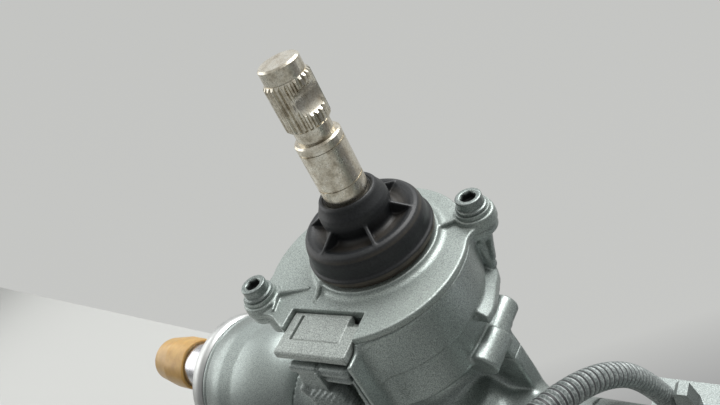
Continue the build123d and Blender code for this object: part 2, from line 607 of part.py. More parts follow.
def cover_screws():
    under = WASHER_T
    solids = []
    for x, y in COVER_SCREWS:
        screw = rod_z(SCREW_R, under - SCREW_LENGTH, under + 1, x, y)
        head = rod_z(SCREW_HEAD_R, under, under + SCREW_HEAD_H, x, y)
        head = chamfer(head.faces().sort_by(Axis.Z)[-1].edges(), 0.5)
        socket = extrude(Plane(origin=(x, y, under + SCREW_HEAD_H - 3.2))
                         * RegularPolygon(SCREW_SOCKET_R, 6), 4)
        solids.append(TOWER * (screw + head - socket))
    return solids


def cover_washers():
    return [TOWER * ring_z(WASHER_R, SCREW_R + 0.2, 0, WASHER_T, x, y) for x, y in COVER_SCREWS]


# ---- Bearings of the pinion ----------------------------------------------------------------------
def ball_race(inner_r, outer_r, middle_r, ball_r, z0, z1, inner):
    """One race of a ball bearing, with its groove."""
    land = ball_r * 0.45
    race = ring_z(middle_r - land, inner_r, z0, z1) if inner \
        else ring_z(outer_r, middle_r + land, z0, z1)
    groove = Pos(0, 0, (z0 + z1) / 2) * Torus(middle_r, ball_r + 0.02)
    return race - groove


def pinion_bearing_inner():
    return TOWER * ball_race(BALL_BORE_R, 0, PINION_BALL_PITCH_R, PINION_BALL_R, BALL_Z0, BALL_Z1,
                             True)


def pinion_bearing_outer():
    return TOWER * ball_race(0, BALL_OUT_R, PINION_BALL_PITCH_R, PINION_BALL_R, BALL_Z0, BALL_Z1,
                             False)


def pinion_bearing_balls():
    middle = (BALL_Z0 + BALL_Z1) / 2
    return [TOWER * Rot(0, 0, 360 * k / PINION_BALLS) * Pos(PINION_BALL_PITCH_R, 0, middle)
            * Sphere(PINION_BALL_R) for k in range(PINION_BALLS)]


def bearing_retainer():
    ring = ring_z(BALL_OUT_R, SLEEVE_R + 2.0, BALL_Z1, RETAINER_Z)
    ring -= [Rot(0, 0, 90 * k) * block(SLEEVE_R + 4, BALL_OUT_R + 1, -2, 2, RETAINER_Z - 2.5,
                                       RETAINER_Z + 1) for k in range(4)]
    return TOWER * ring


def lower_needle_bearing():
    return TOWER * ring_z(NEEDLE_OUT, NEEDLE_R + RUN, NEEDLE_Z0, NEEDLE_Z1)


def pinion_nut():
    nut = extrude(Plane(origin=(0, 0, PINION_FOOT + 1.5)) * RegularPolygon(8.0, 6), 6.0)
    nut -= rod_z(NUT_THREAD_R, PINION_FOOT, NEEDLE_Z0)
    return TOWER * nut


def pinion_end_cap():
    """Threaded cap that closes the tower below the pinion nut."""
    rim, bore = END_CAP_R + 2.5, END_CAP_R - 2.5
    cap = turned_z([(0, END_CAP_FOOT), (rim, END_CAP_FOOT), (rim, END_CAP_FOOT + 3),
                    (END_CAP_R, END_CAP_FOOT + 3), (END_CAP_R, END_CAP_TOP + 2),
                    (bore, END_CAP_TOP + 2), (bore, END_CAP_TOP), (0, END_CAP_TOP)])
    cap -= extrude(Plane(origin=(0, 0, END_CAP_FOOT - 1)) * RegularPolygon(7.0, 6), 4.0)
    return TOWER * cap


# ---- Yoke ------------------------------------------------------------------------------------------
def yoke():
    """Aluminium slipper pushed against the back of the bar opposite the pinion."""
    body = rod_y(YOKE_R, YOKE_BACK, -3.0)
    body -= rod_x(BAR_R + YOKE_LINER_T, -40, 40)
    body -= rod_y(YOKE_POCKET_R, YOKE_BACK - 1, YOKE_BACK + YOKE_POCKET)
    body -= ring_y(YOKE_R + 1, YOKE_R - 1.6, YOKE_BACK + 5, YOKE_BACK + 7.4)
    return body


def yoke_liner():
    shell = ring_x(BAR_R + YOKE_LINER_T - 0.01, BAR_R + RUN, -12, 12)
    return shell & block(-12, 12, -20, -6.0, -13, 13)


def yoke_o_ring():
    ring = Torus(YOKE_R - 0.75, 0.8)
    return Pos(0, YOKE_BACK + 6.2, 0) * Rot(90, 0, 0) * ring


def yoke_springs():
    """Stack of two conical spring washers between yoke and plug."""
    gap = (YOKE_BACK + YOKE_POCKET) - (YOKE_PLUG_Y + YOKE_PLUG_T)
    height = gap / 2
    solids = []
    for k in range(2):
        y = YOKE_PLUG_Y + YOKE_PLUG_T + k * height
        a, b = (9.0, 5.0) if k == 0 else (5.0, 9.0)
        ring = revolve(make_face(Polyline((a, y), (a + 1.6, y), (b + 1.6, y + height),
                                          (b, y + height), close=True)), Axis.Y)
        solids.append(ring)
    return solids


def yoke_plug():
    plug = rod_y(YOKE_R, YOKE_PLUG_Y, YOKE_PLUG_Y + YOKE_PLUG_T)
    hexagon = Plane(origin=(0, YOKE_PLUG_Y - 1, 0), x_dir=(1, 0, 0), z_dir=(0, 1, 0))
    return plug - extrude(hexagon * RegularPolygon(9.0, 6), 6.0)


# ---- Bushes and end stops ------------------------------------------------------------------------
def bar_bush(x0):
    bush = ring_x(BUSH_R, BAR_R + RUN, x0, x0 + BUSH_LENGTH)
    slit = block(x0 - 1, x0 + BUSH_LENGTH + 1, -1, 1, -BUSH_R - 1, 0)
    return bush - slit


def end_stop(x0):
    return ring_x(BARREL_BORE_R - SEAT, BAR_R + CAP_T + 4.0, x0, x0 + STOP_T)


# ---- Main casting ----------------------------------------------------------------------------------
def bar_tunnel():
    """Outside of the casting round the bar: barrel, shoulder, waist, tube and flange."""
    points = [(LEFT_END, 0), (LEFT_END, BARREL_R), (LEFT_END + BARREL_LAND, BARREL_R),
              (LEFT_END + BARREL_LAND, BARREL_R - 0.5),
              (LEFT_END + BARREL_LAND + 1.2, BARREL_R - 0.5),
              (LEFT_END + BARREL_LAND + 1.2, BARREL_R),
              (LEFT_END + BARREL_LAND + 12, BARREL_R - 0.3), (LEFT_END + 34, SHOULDER_R),
              (WAIST_X0 - 18, SHOULDER_R), (WAIST_X0, WAIST_R), (WAIST_X1, WAIST_R),
              (WAIST_X1 + 14, TUBE_R), (FLANGE_X - 30, TUBE_R),
              (FLANGE_X - FLANGE_T, (TUBE_R + CASE_R) / 2), (FLANGE_X - FLANGE_T, CASE_R),
              (FLANGE_X, CASE_R), (FLANGE_X, 0)]
    rounds = {(WAIST_X0 - 18, SHOULDER_R): 8.0, (WAIST_X0, WAIST_R): 4.0,
              (WAIST_X1, WAIST_R): 6.0, (WAIST_X1 + 14, TUBE_R): 8.0,
              (FLANGE_X - 30, TUBE_R): 10.0, (LEFT_END + 34, SHOULDER_R): 12.0}
    return turned_x(points, rounds)


def flank_strut():
    """Strut over the bowl's flank, from the boss under the right ear to the mounting boss."""
    x, y = COVER_SCREWS[0]
    middle_r = BOWL_R + 0.5
    ends = []
    for turn, z in ((atan2(y - BOWL_Y, x - BOWL_X), STRUT_Z0), (radians(STRUT_AZ), STRUT_Z1)):
        ends.append(Vector(BOWL_X + middle_r * cos(turn), BOWL_Y + middle_r * sin(turn), z))
    start, end = ends
    outwards = (start + end) / 2 - Vector(BOWL_X, BOWL_Y, (start.Z + end.Z) / 2)
    section = Plane(origin=start, x_dir=outwards, z_dir=end - start)
    return extrude(section * Rectangle(STRUT_DEPTH, STRUT_W), (end - start).length)


def tower_blank():
    """Outside of the pinion tower: bearing housing, flared sensor bowl and connector pad."""
    tower = rod_z(TOWER_R, END_CAP_FOOT + 3, BOWL_FOOT + 1)
    tower += bowl_blank(BOWL_FOOT, BOWL_RIM, BOWL_R)
    flare = loft([Pos(BOWL_X, BOWL_Y, BOWL_FOOT) * Circle(BOWL_R).face(),
                  Pos(0, 0, BOWL_FOOT - 17) * Circle(TOWER_R).face()])
    tower += flare
    step = ring_z(BOWL_R + 1, BOWL_R - 0.5, BOWL_STEP - 0.5, BOWL_STEP + 0.5, BOWL_X, BOWL_Y)
    tower -= step
    foot = BOWL_RIM - EAR_BOSS_H
    for x, y in COVER_SCREWS:
        tower += ear_blank(x, y, BOWL_RIM - EAR_FLANGE, BOWL_RIM, EAR_R - 0.8)
        tower += ear_blank(x, y, foot, BOWL_RIM - 1, EAR_FOOT_R)
        tower += Pos(x, y, foot + EAR_BOSS_H / 2) * Cone(EAR_FOOT_R, EAR_R - 0.8, EAR_BOSS_H)
        tower += Pos(x, y, foot) * Sphere(EAR_FOOT_R)
    tower += flank_strut()
    tower += plug_block(PLUG_U0 + 2, PLUG_U1 + CHEEK_T + 0.6, 20, PAD_BACK_V, BOWL_FOOT,
                        BOWL_RIM - 1.3)
    tower += plug_block(PLUG_U1 + 0.6, PLUG_U1 + CHEEK_T + 0.6, 20, PAD_FRONT_V, BOWL_FOOT,
                        BOWL_RIM - 1.3)
    return TOWER * tower


def tower_bores():
    bores = rod_z(BOWL_R - BOWL_WALL, BOWL_FOOT + 5, 10, BOWL_X, BOWL_Y)
    bores += rod_z(BALL_OUT_R + 0.01, BALL_Z0, BOWL_FOOT + 6)
    bores += rod_z(BALL_OUT_R - 3, BALL_Z0 - 4, BALL_Z0 + 1)
    bores += rod_z(PITCH_R + ADDENDUM + 1.0, NEEDLE_Z1 - 0.5, BALL_Z0)
    bores += rod_z(NEEDLE_OUT + 0.01, NEEDLE_Z0, NEEDLE_Z1)
    bores += rod_z(END_CAP_R - 2.5, END_CAP_FOOT + 2, NEEDLE_Z0 + 0.01)
    bores += rod_z(END_CAP_R + 0.01, END_CAP_FOOT + 2, END_CAP_TOP + 2)
    bores += connector_notch(PLUG_BASE, 1, SEAT + 0.4)
    bores += PLUG * rod_z(OUTLET_R + 1.2, -TOWER_H, PLUG_BASE + 1, OUTLET_U, -OUTLET_V)
    for x, y in COVER_SCREWS:
        bores += rod_z(SCREW_R + RUN, WASHER_T - SCREW_LENGTH - 2, 1, x, y)
    return TOWER * bores


def mount_boss(x, z, front, root):
    """Round boss along Y with a web back to the part of the casting that carries it."""
    boss = rod_y(MOUNT_BOSS_R, front, MOUNT_FACE, x, z)
    return fillet(boss.edges().group_by(Axis.Y)[0], 2.0) + root


def upper_boss():
    """Slim boss beside the bowl: front part with a side lobe, collar and neck."""
    boss = rod_y(UPPER_BOSS_R, UPPER_FRONT, UPPER_COLLAR_Y, MOUNT_X, MOUNT_Z)
    boss = fillet(boss.edges().group_by(Axis.Y)[0], 1.2)
    boss += rod_y(UPPER_COLLAR_R, UPPER_COLLAR_Y, UPPER_NECK_Y, MOUNT_X, MOUNT_Z)
    boss += rod_y(UPPER_NECK_R, UPPER_NECK_Y, MOUNT_FACE, MOUNT_X, MOUNT_Z)
    lobe_r = 0.6 * UPPER_BOSS_R
    lobe = rod_y(lobe_r, UPPER_FRONT + 2, UPPER_COLLAR_Y, MOUNT_X - UPPER_BOSS_R, MOUNT_Z)
    web = web_y([(8, 0), (48, 0), (47.5, 20), (46.8, 32), (MOUNT_X + UPPER_COLLAR_R, MOUNT_Z),
                 (8, MOUNT_Z + 2)], WEB_Y0, WEB_Y1)
    return boss + lobe + web


def mount_hole(x, z, radius):
    return rod_y(radius, MOUNT_FACE - MOUNT_DEPTH, MOUNT_FACE + 1, x, z)


def web_y(points, y0, y1):
    """Flat web of the casting, drawn in the XZ plane and raised along Y."""
    return extrude(make_face(Polyline(*[(x, y0, z) for x, z in points], close=True)),
                   y1 - y0, dir=(0, 1, 0))


def rack_housing():
    body = bar_tunnel() + tower_blank()
    body += rod_y(YOKE_R + 5.0, YOKE_PLUG_Y, 0)
    body += upper_boss()
    body += mount_boss(LOWER_MOUNT_X, LOWER_MOUNT_Z, -6.0,
                       web_y([(31, -38), (49, -38), (56, 0), (20, 0)], 4, 10))
    body += mount_boss(FAR_MOUNT_X, FAR_MOUNT_Z, 2.0,
                       web_y([(226, 0), (246, 0), (246, 30), (226, 30)], 6, 12))
    body += hull_slab(CASE_R, MOTOR_R, FLANGE_X - FLANGE_T, FLANGE_X)
    body += case_lugs(FLANGE_X - FLANGE_T, FLANGE_X)
    body += [rod_x(LUG_R, FLANGE_X - FLANGE_T, FLANGE_X, y, z) for y, z in motor_bolt_places()]
    body -= tower_bores()
    body -= turned_x([(LEFT_END - 1, 0), (LEFT_END - 1, BARREL_BORE_R),
                      (LEFT_FLOOR, BARREL_BORE_R), (LEFT_FLOOR, BUSH_R + 0.01),
                      (LEFT_FLOOR + BUSH_LENGTH, BUSH_R + 0.01),
                      (LEFT_FLOOR + BUSH_LENGTH, TUBE_BORE_R), (FLANGE_X + 1, TUBE_BORE_R),
                      (FLANGE_X + 1, 0)])
    body -= rod_y(YOKE_BORE_R, YOKE_PLUG_Y - 1, 0)
    body -= rod_x(MOTOR_R - 6, FLANGE_X - 20, FLANGE_X + 1, MOTOR_Y, MOTOR_Z)
    body -= mount_hole(MOUNT_X, MOUNT_Z, UPPER_HOLE_R)
    body -= mount_hole(LOWER_MOUNT_X, LOWER_MOUNT_Z, MOUNT_HOLE_R)
    body -= mount_hole(FAR_MOUNT_X, FAR_MOUNT_Z, MOUNT_HOLE_R)
    body -= case_bolt_holes()
    body -= [rod_x(CASE_BOLT_R + RUN, FLANGE_X - FLANGE_T - 1, FLANGE_X - 0.5, y, z)
             for y, z in motor_bolt_places()]
    return body


# ---- Gear case, ball nut, belt and motor ---------------------------------------------------------
def around(y, z, radius, turns):
    """Places round an axis along X, by angles off the line from the bar to the motor."""
    aim = atan2(MOTOR_Z, MOTOR_Y)
    return [(y + radius * cos(aim + radians(turn)), z + radius * sin(aim + radians(turn)))
            for turn in turns]


def case_bolt_places():
    return (around(0, 0, CASE_R + 4, (82, 150, 210, 278))
            + around(MOTOR_Y, MOTOR_Z, CASE_MOTOR_R + 5, (50, -50)))


def motor_bolt_places():
    return around(MOTOR_Y, MOTOR_Z, MOTOR_R + 6, (0, 105, 255))


def case_bolt_holes():
    return [rod_x(CASE_BOLT_R + RUN, CASE_BOLT_X0 - 1, CASE_X1 + 20, y, z)
            for y, z in case_bolt_places()]


def case_lugs(x0, x1):
    return [rod_x(LUG_R, x0, x1, y, z) for y, z in case_bolt_places()]


def gear_case():
    """Casting round the ball nut and the belt."""
    body = hull_slab(CASE_R, CASE_MOTOR_R, FLANGE_X, CASE_X1)
    body += case_lugs(FLANGE_X, CASE_X1)
    body -= hull_slab(CASE_R - CASE_WALL, CASE_MOTOR_R - CASE_WALL, FLANGE_X + 6, CASE_X1 + 1)
    body -= rod_x(TUBE_BORE_R + 6, FLANGE_X - 1, FLANGE_X + 8)
    body -= rod_x(12.0, FLANGE_X - 1, FLANGE_X + 8, MOTOR_Y, MOTOR_Z)
    body -= case_bolt_holes()
    return body


def case_cover():
    """Cover of the gear case with the right barrel of the rack in one casting."""
    plate = hull_slab(CASE_R, CASE_MOTOR_R, CASE_X1, CASE_X1 + COVER_PLATE)
    plate += case_lugs(CASE_X1, CASE_X1 + COVER_PLATE)
    points = [(CASE_X1, 0), (CASE_X1, CASE_R - 2), (CASE_X1 + COVER_PLATE + 14, SHOULDER_R),
              (RIGHT_END - 34, SHOULDER_R), (RIGHT_END - BARREL_LAND - 12, BARREL_R - 0.3),
              (RIGHT_END - BARREL_LAND, BARREL_R), (RIGHT_END, BARREL_R), (RIGHT_END, 0)]
    body = plate + turned_x(points, {(RIGHT_END - 34, SHOULDER_R): 12.0})
    body -= turned_x([(CASE_X1 - 1, 0), (CASE_X1 - 1, NUT_R + 2), (CASE_X1 + 8, NUT_R + 2),
                      (CASE_X1 + 8, BUSH_R + 0.01), (RIGHT_FLOOR, BUSH_R + 0.01),
                      (RIGHT_FLOOR, BARREL_BORE_R), (RIGHT_END + 1, BARREL_BORE_R),
                      (RIGHT_END + 1, 0)])
    return body - case_bolt_holes()


def case_bolts():
    solids = []
    for y, z in case_bolt_places():
        shank = rod_x(CASE_BOLT_R, CASE_BOLT_X0 + 1, CASE_X1 + COVER_PLATE + 1, y, z)
        head = rod_x(6.0, CASE_X1 + COVER_PLATE, CASE_X1 + COVER_PLATE + 6, y, z)
        hexagon = Plane(origin=(CASE_X1 + COVER_PLATE + 3, y, z), x_dir=(0, 1, 0),
                        z_dir=(1, 0, 0))
        solids.append(shank + head - extrude(hexagon * RegularPolygon(3.2, 6), 4))
    return solids


def ball_nut():
    nut = ring_x(NUT_R, BAR_R + 0.35, NUT_X0, NUT_X1)
    nut += ring_x(NUT_R + 4, NUT_R - 1, NUT_X0 + 3 + BELT_W + 1, NUT_X0 + 3 + BELT_W + 5)
    return nut


def toothed_pulley(radius, teeth, bore, x0, x1):
    """Timing pulley with one flange each side."""
    rim = []
    for k in range(teeth):
        for share, r in ((-0.25, radius), (0.25, radius), (0.33, radius - 1.1),
                         (0.67, radius - 1.1)):
            angle = 2 * pi * (k + share) / teeth
            rim.append((r * cos(angle), r * sin(angle)))
    plane = Plane(origin=(x0, 0, 0), x_dir=(0, 1, 0), z_dir=(1, 0, 0))
    wheel = prism(rim, x1 - x0, plane)
    return wheel - rod_x(bore, x0 - 1, x1 + 1)


def nut_pulley():
    x0 = NUT_X0 + 3
    return toothed_pulley(NUT_PULLEY_R, NUT_PULLEY_TEETH, NUT_R + 0.01, x0, x0 + BELT_W)


def motor_pulley():
    x0 = NUT_X0 + 3
    wheel = toothed_pulley(MOTOR_PULLEY_R, MOTOR_PULLEY_TEETH, ROTOR_SHAFT_R + 0.01, x0,
                           x0 + BELT_W)
    return Pos(0, MOTOR_Y, MOTOR_Z) * wheel


def drive_belt():
    x0 = NUT_X0 + 4
    outer = hull_slab(NUT_PULLEY_R + BELT_T, MOTOR_PULLEY_R + BELT_T, x0, x0 + BELT_W - 2)
    inner = hull_slab(NUT_PULLEY_R + 0.15, MOTOR_PULLEY_R + 0.15, x0 - 1, x0 + BELT_W)
    return outer - inner


def lay_x(shape, x):
    """A piece drawn about Z from z = 0, laid along the bar from x."""
    return Pos(x, 0, 0) * Rot(0, 90, 0) * shape


def nut_bearing_inner():
    race = ball_race(NUT_R + 0.01, 0, NUT_BALL_PITCH_R, NUT_BALL_R, 0, NUT_BEARING_W, True)
    return lay_x(race, NUT_BEARING_X0)


def nut_bearing_outer():
    race = ball_race(0, NUT_BEARING_R, NUT_BALL_PITCH_R, NUT_BALL_R, 0, NUT_BEARING_W, False)
    return lay_x(race, NUT_BEARING_X0)


def nut_bearing_balls():
    ball = Pos(NUT_BALL_PITCH_R, 0, NUT_BEARING_W / 2) * Sphere(NUT_BALL_R)
    return [lay_x(Rot(0, 0, 360 * k / NUT_BALLS) * ball, NUT_BEARING_X0)
            for k in range(NUT_BALLS)]


def nut_bearing_carrier():
    """Ring that holds the nut's outer race in the gear case."""
    return ring_x(CASE_R - CASE_WALL - SEAT, NUT_BEARING_R + 0.01, NUT_BEARING_X0,
                  NUT_BEARING_X1)


def motor_housing():
    """Drawn can with a cast front flange."""
    can = turned_x([(MOTOR_X0, 0), (MOTOR_X0, MOTOR_R - MOTOR_WALL), (MOTOR_X0 + 3, MOTOR_R),
                    (MOTOR_X1, MOTOR_R), (MOTOR_X1, 0)], None, MOTOR_Y, MOTOR_Z)
    can -= rod_x(MOTOR_R - MOTOR_WALL, MOTOR_X0 + 4, MOTOR_X1 - 8, MOTOR_Y, MOTOR_Z)
    can -= rod_x(MOTOR_BEARING_R, MOTOR_X0 - 1, MOTOR_X1 + 1, MOTOR_Y, MOTOR_Z)
    can += rod_x(MOTOR_R - 6 - SEAT, MOTOR_X1 - 1, MOTOR_X1 + 8, MOTOR_Y, MOTOR_Z) \
        - rod_x(MOTOR_BEARING_R, MOTOR_X1 - 2, MOTOR_X1 + 9, MOTOR_Y, MOTOR_Z)
    ears = [rod_x(LUG_R, MOTOR_X1 - 6, MOTOR_X1, y, z) for y, z in motor_bolt_places()]
    can += [ear - rod_x(MOTOR_R - 1, MOTOR_X1 - 7, MOTOR_X1 + 1, MOTOR_Y, MOTOR_Z) for ear in ears]
    can -= [rod_x(CASE_BOLT_R + 0.2, MOTOR_X1 - 7, MOTOR_X1 + 1, y, z)
            for y, z in motor_bolt_places()]
    return can


def motor_bolts():
    solids = []
    for y, z in motor_bolt_places():
        shank = rod_x(CASE_BOLT_R, MOTOR_X1 - 7, MOTOR_X1 + FLANGE_T - 1, y, z)
        solids.append(shank + rod_x(5.5, MOTOR_X1 - 12, MOTOR_X1 - 6, y, z))
    return solids


def motor_bearing(x0):
    return ring_x(MOTOR_BEARING_R - 0.01, ROTOR_SHAFT_R + 0.01, x0, x0 + MOTOR_BEARING_T,
                  MOTOR_Y, MOTOR_Z)


def motor_stator():
    x0, x1 = MOTOR_X0 + STATOR_REAR, MOTOR_X1 - STATOR_FRONT
    ring = ring_x(MOTOR_R - MOTOR_WALL - 0.02, ROTOR_R + 1.0, x0, x1, MOTOR_Y, MOTOR_Z)
    slot = rod_x(SLOT_R, x0 - 1, x1 + 1, ROTOR_R + SLOT_OUT, 0)
    slots = [Pos(0, MOTOR_Y, MOTOR_Z) * Rot(60 * k, 0, 0) * slot for k in range(6)]
    return ring - slots


def motor_windings():
    x0 = MOTOR_X0 + STATOR_REAR - WINDING_HEAD
    x1 = MOTOR_X1 - STATOR_FRONT + WINDING_HEAD
    coil = rod_x(SLOT_R - 0.2, x0, x1, ROTOR_R + SLOT_OUT, 0)
    return [Pos(0, MOTOR_Y, MOTOR_Z) * Rot(60 * k, 0, 0) * coil for k in range(6)]


def motor_rotor():
    x0, x1 = MOTOR_X0 + STATOR_REAR + 2, MOTOR_X1 - STATOR_FRONT - 2
    shaft = rod_x(ROTOR_SHAFT_R, MOTOR_X0 - 6, BELT_MID_X + BELT_W / 2 + 2, MOTOR_Y, MOTOR_Z)
    return shaft + rod_x(ROTOR_R, x0, x1, MOTOR_Y, MOTOR_Z)


def ecu_blank(x0, x1, inset):
    """Rounded box of the control unit about the motor axis."""
    plane = Plane(origin=(x0, MOTOR_Y, MOTOR_Z), x_dir=(0, 1, 0), z_dir=(1, 0, 0))
    shape = RectangleRounded(2 * (ECU_HALF_Y - inset), 2 * (ECU_HALF_Z - inset), 12 - inset)
    return extrude(plane * shape, x1 - x0)


def ecu_housing():
    body = ecu_blank(ECU_X0 + ECU_COVER_T, MOTOR_X0, 0)
    body -= ecu_blank(ECU_X0, MOTOR_X0 - 5, ECU_WALL)
    body -= rod_x(12.5, MOTOR_X0 - 8, MOTOR_X0 + 1, MOTOR_Y, MOTOR_Z)
    return body


def ecu_cover():
    plate = ecu_blank(ECU_X0, ECU_X0 + ECU_COVER_T, 0)
    fins = [block(ECU_X0 - 4, ECU_X0 + 0.1, HEADER_Y1 + 4 + 6 * k, HEADER_Y1 + 6.5 + 6 * k,
                  MOTOR_Z - 30, MOTOR_Z + 30) for k in range(5)]
    return plate + fins


def ecu_board():
    half_y, half_z = ECU_HALF_Y - ECU_WALL - 5, ECU_HALF_Z - ECU_WALL - 5
    x0 = ECU_X0 + 3 * ECU_COVER_T
    board = block(x0, x0 + 1.6, MOTOR_Y - half_y, MOTOR_Y + half_y, MOTOR_Z - half_z,
                  MOTOR_Z + half_z)
    chips = [block(x0 + 1.5, x0 + 5, MOTOR_Y + (k - 1.3) * 0.6 * half_y,
                   MOTOR_Y + (k - 0.9) * 0.6 * half_y, MOTOR_Z - 20, MOTOR_Z - 6)
             for k in range(3)]
    posts = [rod_x(2.5, ECU_X0 + ECU_COVER_T, x0 + 0.1, MOTOR_Y + a, MOTOR_Z + b)
             for a in (4 - half_y, half_y - 4) for b in (4 - half_z, half_z - 4)]
    return board + chips + posts


# ---- Harness ---------------------------------------------------------------------------------------
def ecu_header():
    """Socket tower on the control unit's side for the sensor harness."""
    body = block(HEADER_X0, HEADER_X1, HEADER_Y0, HEADER_Y1, HEADER_FOOT, HEADER_TOP)
    body -= block(HEADER_X0 + 2.2, HEADER_X1 - 4, HEADER_Y0 + 2.2, HEADER_Y1 - 2.2,
                  HEADER_TOP - 12, HEADER_TOP + 1)
    return body


def ecu_plug():
    """Plug on the control unit's end of the harness, with a bevelled release tongue."""
    x0, x1 = HEADER_X0, HEADER_X1 - 5
    y0, y1 = HEADER_Y0, HEADER_Y1
    body = block(x0, x1, y0, y1, HEADER_TOP + SEAT, SHELF_TOP)
    body += web_y([(TONGUE_X0, SHELF_TOP - 1), (TONGUE_X0, TONGUE_TOP - 1.5),
                   (TONGUE_X0 + 1.5, TONGUE_TOP), (TONGUE_X0 + 5, TONGUE_TOP),
                   (TONGUE_X1, TONGUE_TOP - 8), (TONGUE_X1, SHELF_TOP - 1)], TONGUE_Y0, TONGUE_Y1)
    body += block(x0 + 2.5, HEADER_X1 - 4.3, y0 + 2.5, y1 - 2.5, HEADER_TOP - 10,
                  HEADER_TOP + 1)
    body += block(x0 - 10, x0 + 1, y0, y1, SHELF_TOP - 14, SHELF_TOP)
    *_, above, end = conduit_route()
    entry = Plane(origin=end, z_dir=above - end) * Circle(CONDUIT_R + SEAT)
    return body - extrude(entry, 20)


def conduit_route():
    """Corners of the conduit's route, from the sensor plug to the control unit's plug."""
    outlet = [TOWER.from_local_coords(PLUG.from_local_coords(Vector(OUTLET_U, -OUTLET_V, z)))
              for z in (OUTLET_FOOT + 6, OUTLET_FOOT - 18)]
    turns = [(21.5, -47.5, 27.0), (44.0, -46.0, 34.0), (60.0, -34.0, 46.0), (68.5, -13.0, 44.5),
             (74.0, 14.0, 26.5), (78.0, 33.0, 0.0)]
    end = (76.5, 49.5, SHELF_TOP - 7)
    return outlet + [Vector(*p) for p in turns] + [Vector(*end)]


def tangent_radii(points, share=0.45):
    radii = []
    for a, b, c in zip(points, points[1:], points[2:]):
        turn = radians((b - a).get_angle(c - b))
        radii.append(share * min((b - a).length, (c - b).length) / tan(turn / 2))
    return radii


def conduit():
    points = conduit_route()
    radii = tangent_radii(points)
    print("conduit radii", [round(r, 1) for r in radii])
    print("conduit turns", [round((b - a).get_angle(c - b)) for a, b, c in
                            zip(points, points[1:], points[2:])])
    path = FilletPolyline(*points, radius=radii)
    section = Plane(origin=points[0], z_dir=points[1] - points[0]) * Circle(CONDUIT_R)
    tube = sweep(section, path=path)
    print("conduit length", round(path.length, 1), "volume share",
          round(tube.volume / (pi * CONDUIT_R ** 2 * path.length), 4))
    return tube


# ---- Nodes -----------------------------------------------------------------------------------------
NODES = {
    "rack_housing": rack_housing,
    "rack_bar": rack_bar,
    "left_bar_cap": lambda: bar_cap(BAR_X0, -1),
    "right_bar_cap": lambda: bar_cap(BAR_X1, 1),
    "left_bar_bush": lambda: bar_bush(LEFT_FLOOR),
    "right_bar_bush": lambda: bar_bush(RIGHT_FLOOR - BUSH_LENGTH),
    "left_end_stop": lambda: end_stop(LEFT_FLOOR - STOP_T),
    "right_end_stop": lambda: end_stop(RIGHT_FLOOR),
    "pinion_shaft": pinion_shaft,
    "input_shaft": input_shaft,
    "torsion_bar": torsion_bar,
    "torsion_pin": torsion_pin,
    "magnet_ring": magnet_ring,
    "sensor_stator": sensor_stator,
    "torque_sensor": torque_sensor,
    "sensor_connector": sensor_connector,
    "sensor_cover": sensor_cover,
    "cover_screws": cover_screws,
    "cover_washers": cover_washers,
    "dust_boot": dust_boot,
    "shaft_seal": shaft_seal,
    "shaft_needle_bearing": needle_cup,
    "pinion_bearing_inner_race": pinion_bearing_inner,
    "pinion_bearing_outer_race": pinion_bearing_outer,
    "pinion_bearing_balls": pinion_bearing_balls,
    "bearing_retainer_ring": bearing_retainer,
    "pinion_needle_bearing": lower_needle_bearing,
    "pinion_nut": pinion_nut,
    "pinion_end_cap": pinion_end_cap,
    "yoke": yoke,
    "yoke_liner": yoke_liner,
    "yoke_o_ring": yoke_o_ring,
    "yoke_springs": yoke_springs,
    "yoke_plug": yoke_plug,
    "gear_case": gear_case,
    "case_cover": case_cover,
    "case_bolts": case_bolts,
    "ball_nut": ball_nut,
    "nut_pulley": nut_pulley,
    "nut_bearing_inner_race": nut_bearing_inner,
    "nut_bearing_outer_race": nut_bearing_outer,
    "nut_bearing_balls": nut_bearing_balls,
    "nut_bearing_carrier": nut_bearing_carrier,
    "drive_belt": drive_belt,
    "motor_pulley": motor_pulley,
    "motor_housing": motor_housing,
    "motor_front_bearing": lambda: motor_bearing(MOTOR_X1 - 4),
    "motor_rear_bearing": lambda: motor_bearing(MOTOR_X0 - 4),
    "motor_stator": motor_stator,
    "motor_windings": motor_windings,
    "motor_rotor": motor_rotor,
    "motor_bolts": motor_bolts,
    "ecu_housing": ecu_housing,
    "ecu_cover": ecu_cover,
    "ecu_board": ecu_board,
    "ecu_header": ecu_header,
    "harness_plug": harness_plug,
    "ecu_plug": ecu_plug,
    "conduit": conduit,
}

os.makedirs("parts", exist_ok=True)
for name, make in NODES.items():
    made = make()
    solids = [s for piece in (made if isinstance(made, list) else [made])
              for s in piece.solids()]
    node = Compound(children=[solid.moved(Location(-ORIGIN)) for solid in solids])
    export_step(node, f"parts/{name}.step")
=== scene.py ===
import bpy
import numpy as np
from math import cos, hypot, pi, radians, sin
from mathutils import Matrix, Vector


